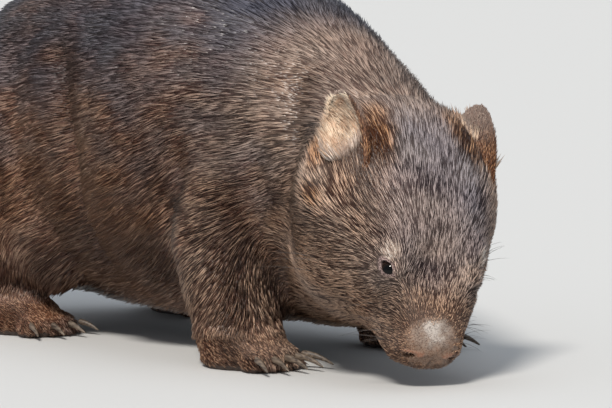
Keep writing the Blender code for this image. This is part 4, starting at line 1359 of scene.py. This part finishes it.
class WOMBAT_OT_ear_hair(bpy.types.Operator):
    """Short hair on the back of the ears and long cream hair in their cups"""

    bl_idname = "wombat.ear_hair"
    bl_label = "Make Ear Hair"

    def execute(self, context):
        looks = context.scene.wombat_looks
        rng = np.random.default_rng(context.scene.wombat_sizes.seed + 1)
        for side in SIDES:
            ear = bpy.data.objects[f"ear_skin_{side}"]
            matrix = ear_matrix(side)

            def density(points, normals, side=side):
                share, across, _ = ear_places(points, side)
                return np.where(share > 0.12, 1300000.0, 300000.0) * (1.0 + 0.4 * smooth(np.abs(across), 0.7, 0.95))

            def lining(points, normals, side=side):
                near = np.linalg.norm(into(matrix, points) - EAR_HOLLOW, axis=1) < 0.045
                return 900000.0 * cup_share(points) * near

            place, normal, spot = scattered_roots(ear.data, density, rng)
            share, across, _ = ear_places(place, side)
            inner = inside_cup(place, normal, side) * (1.0 - smooth(np.abs(across), 0.84, 0.93))
            inner *= 1.0 - smooth(-across * SIDES[side], *CUP_FRONTS[side])
            inner *= 1.0 - smooth(across * SIDES[side], 0.72, 0.88)
            inner = (inner * (1.0 - smooth(share, 0.90, 0.97)) > 0.5).astype(float)
            lined = scattered_roots(bpy.data.objects["skin"].data, lining, rng)
            place, normal, spot = (np.concatenate(pair) for pair in zip((place, normal, spot), lined))
            share, across, _ = ear_places(place, side)
            inner = np.concatenate([inner, np.ones(len(lined[0]))])
            axes = np.array(matrix.to_3x3())
            up, over, out = axes[:, 2], axes[:, 1], axes[:, 0]
            way = up + 0.25 * over * across[:, None]
            backward = over * SIDES[side]
            to_middle = up * 0.85 + backward * 0.50 + out * 0.15
            way = blend(way * np.ones((len(place), 1)), to_middle * np.ones((len(place), 1)), inner)
            way -= normal * np.sum(way * normal, axis=1, keepdims=True)
            way = normalized(way + rng.normal(0.0, 0.10, way.shape))
            length = blend(np.full(len(place), 0.0075), 0.0190, inner) * rng.uniform(0.6, 1.2, len(place))
            length *= 1.0 - 0.70 * smooth(share, 0.50, 0.97)
            lift = blend(np.full(len(place), 0.0014), 0.0042, inner) * rng.uniform(0.4, 1.1, len(place))
            lift = np.minimum(lift, 0.5 * length)
            width = blend(np.full(len(place), 0.0008), 0.0010, inner) * rng.uniform(0.8, 1.3, len(place))
            marks = ear_marks(place, normal, side)
            marks[:, 3] = 1.0
            tone = tones_for(len(place), rng)
            streak = 0.5 + 0.5 * waves(place * (1.0, 1.0, 0.45), 0.0050, 41)
            tone[:, 0] = blend(tone[:, 0], 0.45 * tone[:, 0] + 0.65 * streak * smooth(share, 0.18, 0.45), inner)
            tone[:, 3] = blend(0.62 - 0.36 * smooth(share, 0.50, 0.80), 1.0, inner)
            for name, chosen, material in (("hair", inner < 0.5, "Coat hair"), ("cup_hair", inner > 0.5, "Cream hair")):
                part = np.flatnonzero(chosen)
                label = f"ear_{name}_{side}"
                mesh = tuft_mesh(
                    label,
                    place[part],
                    normal[part],
                    way[part],
                    spot[part],
                    length[part],
                    width[part],
                    lift[part],
                    marks[part],
                    tone[part],
                )
                mesh.materials.append(bpy.data.materials.get(material) or cream_material(looks))
                finished(linked(label, mesh), "ear")
                print("coat piece", label, len(part) * 4)
        return {"FINISHED"}


class WOMBAT_OT_eyes(bpy.types.Operator):
    """Dark wet eyeballs with a slightly bulging front"""

    bl_idname = "wombat.eyes"
    bl_label = "Make Eyes"

    def execute(self, context):
        material = eye_material(context.scene.wombat_looks)
        for side in SIDES:
            bpy.ops.object.select_all(action="DESELECT")
            bpy.ops.mesh.primitive_uv_sphere_add(segments=64, ring_count=40, radius=EYE_RADIUS)
            ball = bpy.context.view_layer.objects.active
            ball.name = f"eyeball_{side}"
            points = coordinates(ball.data)
            away = np.hypot(points[:, 0], points[:, 1])
            front = points[:, 2] > 0
            pupil = np.where(front, 1.0 - smooth(away, 0.0040, 0.0046), 0.0)
            iris = np.where(front, 1.0 - smooth(away, 0.0062, 0.0070), 0.0)
            points[:, 2] += np.where(front, 0.0005 * (1.0 - smooth(away, 0.0, 0.0072)), 0.0)
            move_vertices(ball.data, out_of(eye_matrix(side), points))
            write_colour(ball.data, "eye", np.stack([iris, pupil, iris * 0, iris * 0 + 1], axis=1))
            bpy.ops.object.shade_smooth()
            ball.data.materials.append(material)
            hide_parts(f"eye_{side}")
            finished(ball, "eye")
        return {"FINISHED"}


class WOMBAT_OT_claws(bpy.types.Operator):
    """The worn horn of all claws, rounded from their solids"""

    bl_idname = "wombat.claws"
    bl_label = "Make Claws"

    def execute(self, context):
        material = claw_material(context.scene.wombat_looks)
        for end, toes in ENDS.items():
            for side in SIDES:
                for number in range(1, toes + 1):
                    node = f"{end}_claw_{side}_{number}"
                    claw = linked(f"horn_{end}_{side}_{number}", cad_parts[node].data.copy())
                    only(claw)
                    bpy.ops.object.mode_set(mode="EDIT")
                    bpy.ops.mesh.select_all(action="SELECT")
                    bpy.ops.mesh.remove_doubles(threshold=0.00001)
                    bpy.ops.mesh.dissolve_limited(angle_limit=math.radians(1))
                    bpy.ops.object.mode_set(mode="OBJECT")
                    applied(claw, "SUBSURF", levels=2, render_levels=2)
                    only(claw)
                    bpy.ops.object.shade_smooth()
                    claw.data.materials.clear()
                    claw.data.materials.append(material)
                    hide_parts(node)
                    finished(claw, "claw")
        return {"FINISHED"}


def whisker_rows(rng):
    """Roots and ends of the whiskers in the head's frame: lips, over the eyes and on the cheeks."""
    rows = []
    for sign in SIDES.values():
        for i in range(16):
            x = rng.uniform(0.012, 0.046)
            z = rng.uniform(-0.050, -0.030)
            way = Vector((rng.uniform(-0.9, -0.2), sign * rng.uniform(0.8, 1.1), rng.uniform(-0.5, 0.0)))
            rows.append((Vector((x, sign * 0.09, z)), way.normalized(), rng.uniform(0.020, 0.045)))
        for i in range(5):
            place = Vector((rng.uniform(-0.022, -0.010), sign * 0.09, rng.uniform(0.004, 0.016)))
            way = Vector((rng.uniform(-0.8, -0.3), sign, rng.uniform(0.2, 0.6)))
            rows.append((place, way.normalized(), rng.uniform(0.016, 0.032)))
        for i in range(5):
            place = Vector((rng.uniform(-0.050, -0.030), sign * 0.12, rng.uniform(-0.060, -0.040)))
            way = Vector((rng.uniform(-0.8, -0.5), sign, rng.uniform(-0.6, -0.2)))
            rows.append((place, way.normalized(), rng.uniform(0.035, 0.065)))
    return rows


class WOMBAT_OT_whiskers(bpy.types.Operator):
    """Stiff dark whiskers on lips, cheeks and over the eyes"""

    bl_idname = "wombat.whiskers"
    bl_label = "Make Whiskers"

    def execute(self, context):
        rng = np.random.default_rng(context.scene.wombat_sizes.seed + 2)
        skin = bpy.data.objects["skin"]
        points, faces = [], []
        sides = 4
        for start, way, length in whisker_rows(rng):
            inward = Vector((0.0, -1.0 if start.y > 0 else 1.0, 0.0))
            origin, aim = HEAD @ start, HEAD_TURN @ inward
            found, root, _, _ = skin.ray_cast(origin, aim)
            if not found:
                continue
            turned = HEAD_TURN @ way
            droop = Vector((0.0, 0.0, -0.22 * length))
            across = turned.orthogonal().normalized()
            other = turned.cross(across).normalized()
            base = len(points)
            steps = 6
            for i in range(steps):
                share = i / steps
                middle = root - turned * 0.003 + turned * (length + 0.003) * share + droop * share * share
                thick = 0.00026 * (1.0 - 0.8 * share)
                for k in range(sides):
                    angle = 2 * math.pi * k / sides
                    points.append(middle + (across * math.cos(angle) + other * math.sin(angle)) * thick)
            points.append(root + turned * length + droop)
            for i in range(steps - 1):
                for k in range(sides):
                    a, b = base + i * sides + k, base + i * sides + (k + 1) % sides
                    faces.append((a, b, b + sides, a + sides))
            last = base + (steps - 1) * sides
            for k in range(sides):
                faces.append((last + k, last + (k + 1) % sides, base + steps * sides))
            faces.append(tuple(base + k for k in reversed(range(sides))))
        mesh = bpy.data.meshes.new("whiskers")
        mesh.from_pydata([tuple(p) for p in points], [], faces)
        mesh.materials.append(whisker_material())
        whiskers = linked("whiskers", mesh)
        only(whiskers)
        bpy.ops.object.shade_smooth()
        finished(whiskers, "coat")
        return {"FINISHED"}


def soft_sun(name, place, energy, spread, colour):
    """A far soft light that shines from this direction."""
    light = bpy.data.lights.new(name, "SUN")
    light.energy = energy
    light.angle = math.radians(spread)
    light.color = colour
    obj = bpy.data.objects.new(name, light)
    bpy.context.scene.collection.objects.link(obj)
    obj.location = place
    obj.rotation_euler = (-Vector(place)).to_track_quat("-Z", "Y").to_euler()
    return obj


class WOMBAT_OT_stage(bpy.types.Operator):
    """Pale floor, soft studio light and the camera"""

    bl_idname = "wombat.stage"
    bl_label = "Make Stage"

    def execute(self, context):
        sizes, looks = context.scene.wombat_sizes, context.scene.wombat_looks
        bpy.ops.object.select_all(action="DESELECT")
        bpy.ops.mesh.primitive_circle_add(vertices=96, radius=60.0, fill_type="NGON")
        floor = bpy.context.view_layer.objects.active
        floor.name = "studio_floor"
        made, tree, shader = new_material("Studio floor")
        shader.inputs["Base Color"].default_value = four(looks.floor_grey)
        shader.inputs["Roughness"].default_value = 0.85
        floor.data.materials.append(made)
        world = bpy.data.worlds.new("Studio")
        world.use_nodes = True
        world.node_tree.nodes["Background"].inputs["Color"].default_value = (0.86, 0.92, 1.0, 1.0)
        world.node_tree.nodes["Background"].inputs["Strength"].default_value = 0.42
        context.scene.world = world
        soft_sun("key_light", (0.43, -0.63, 0.80), 2.9, 13.0, (1.0, 0.955, 0.89))
        soft_sun("sky_light", (-0.5, 0.3, 1.6), 0.45, 40.0, (0.80, 0.90, 1.0))
        camera = bpy.data.objects.new("camera", bpy.data.cameras.new("camera"))
        context.scene.collection.objects.link(camera)
        azimuth, elevation = math.radians(52.0), math.radians(4.5)
        right = Vector((math.cos(azimuth), math.sin(azimuth), 0.0))
        away = Vector((-math.sin(azimuth) * math.cos(elevation), math.cos(azimuth) * math.cos(elevation), -math.sin(elevation)))
        up = right.cross(away)
        camera.location = HEAD.translation - right * 0.107 + up * 0.057 - away * 3.0
        camera.rotation_euler = away.to_track_quat("-Z", "Y").to_euler()
        camera.data.lens = sizes.lens
        camera.data.sensor_width = 36.0
        camera.data.clip_end = 200.0
        context.scene.camera = camera
        context.scene.view_settings.view_transform = "Standard"
        return {"FINISHED"}


class WOMBAT_PT_panel(bpy.types.Panel):
    """The wombat's pieces and their settings"""

    bl_idname = "WOMBAT_PT_panel"
    bl_label = "Grazing Wombat"
    bl_space_type = "VIEW_3D"
    bl_region_type = "UI"
    bl_category = "Wombat"

    def draw(self, context):
        layout = self.layout
        for maker in MAKERS:
            layout.operator(maker.bl_idname)
        for settings in (context.scene.wombat_sizes, context.scene.wombat_looks):
            for name in settings.__annotations__:
                layout.prop(settings, name)


MAKERS = (
    WOMBAT_OT_skin,
    WOMBAT_OT_ears,
    WOMBAT_OT_coat,
    WOMBAT_OT_ear_hair,
    WOMBAT_OT_eyes,
    WOMBAT_OT_claws,
    WOMBAT_OT_whiskers,
    WOMBAT_OT_stage,
)
CLASSES = (WombatLooks, WombatSizes, *MAKERS, WOMBAT_PT_panel)


def register():
    for item in CLASSES:
        bpy.utils.register_class(item)
    bpy.types.Scene.wombat_looks = PointerProperty(type=WombatLooks)
    bpy.types.Scene.wombat_sizes = PointerProperty(type=WombatSizes)


def unregister():
    del bpy.types.Scene.wombat_sizes
    del bpy.types.Scene.wombat_looks
    for item in reversed(CLASSES):
        bpy.utils.unregister_class(item)


def main():
    register()
    bpy.ops.wombat.skin()
    bpy.ops.wombat.ears()
    bpy.ops.wombat.coat()
    bpy.ops.wombat.ear_hair()
    bpy.ops.wombat.eyes()
    bpy.ops.wombat.claws()
    bpy.ops.wombat.whiskers()
    bpy.ops.wombat.stage()


if __name__ == "__main__":
    main()
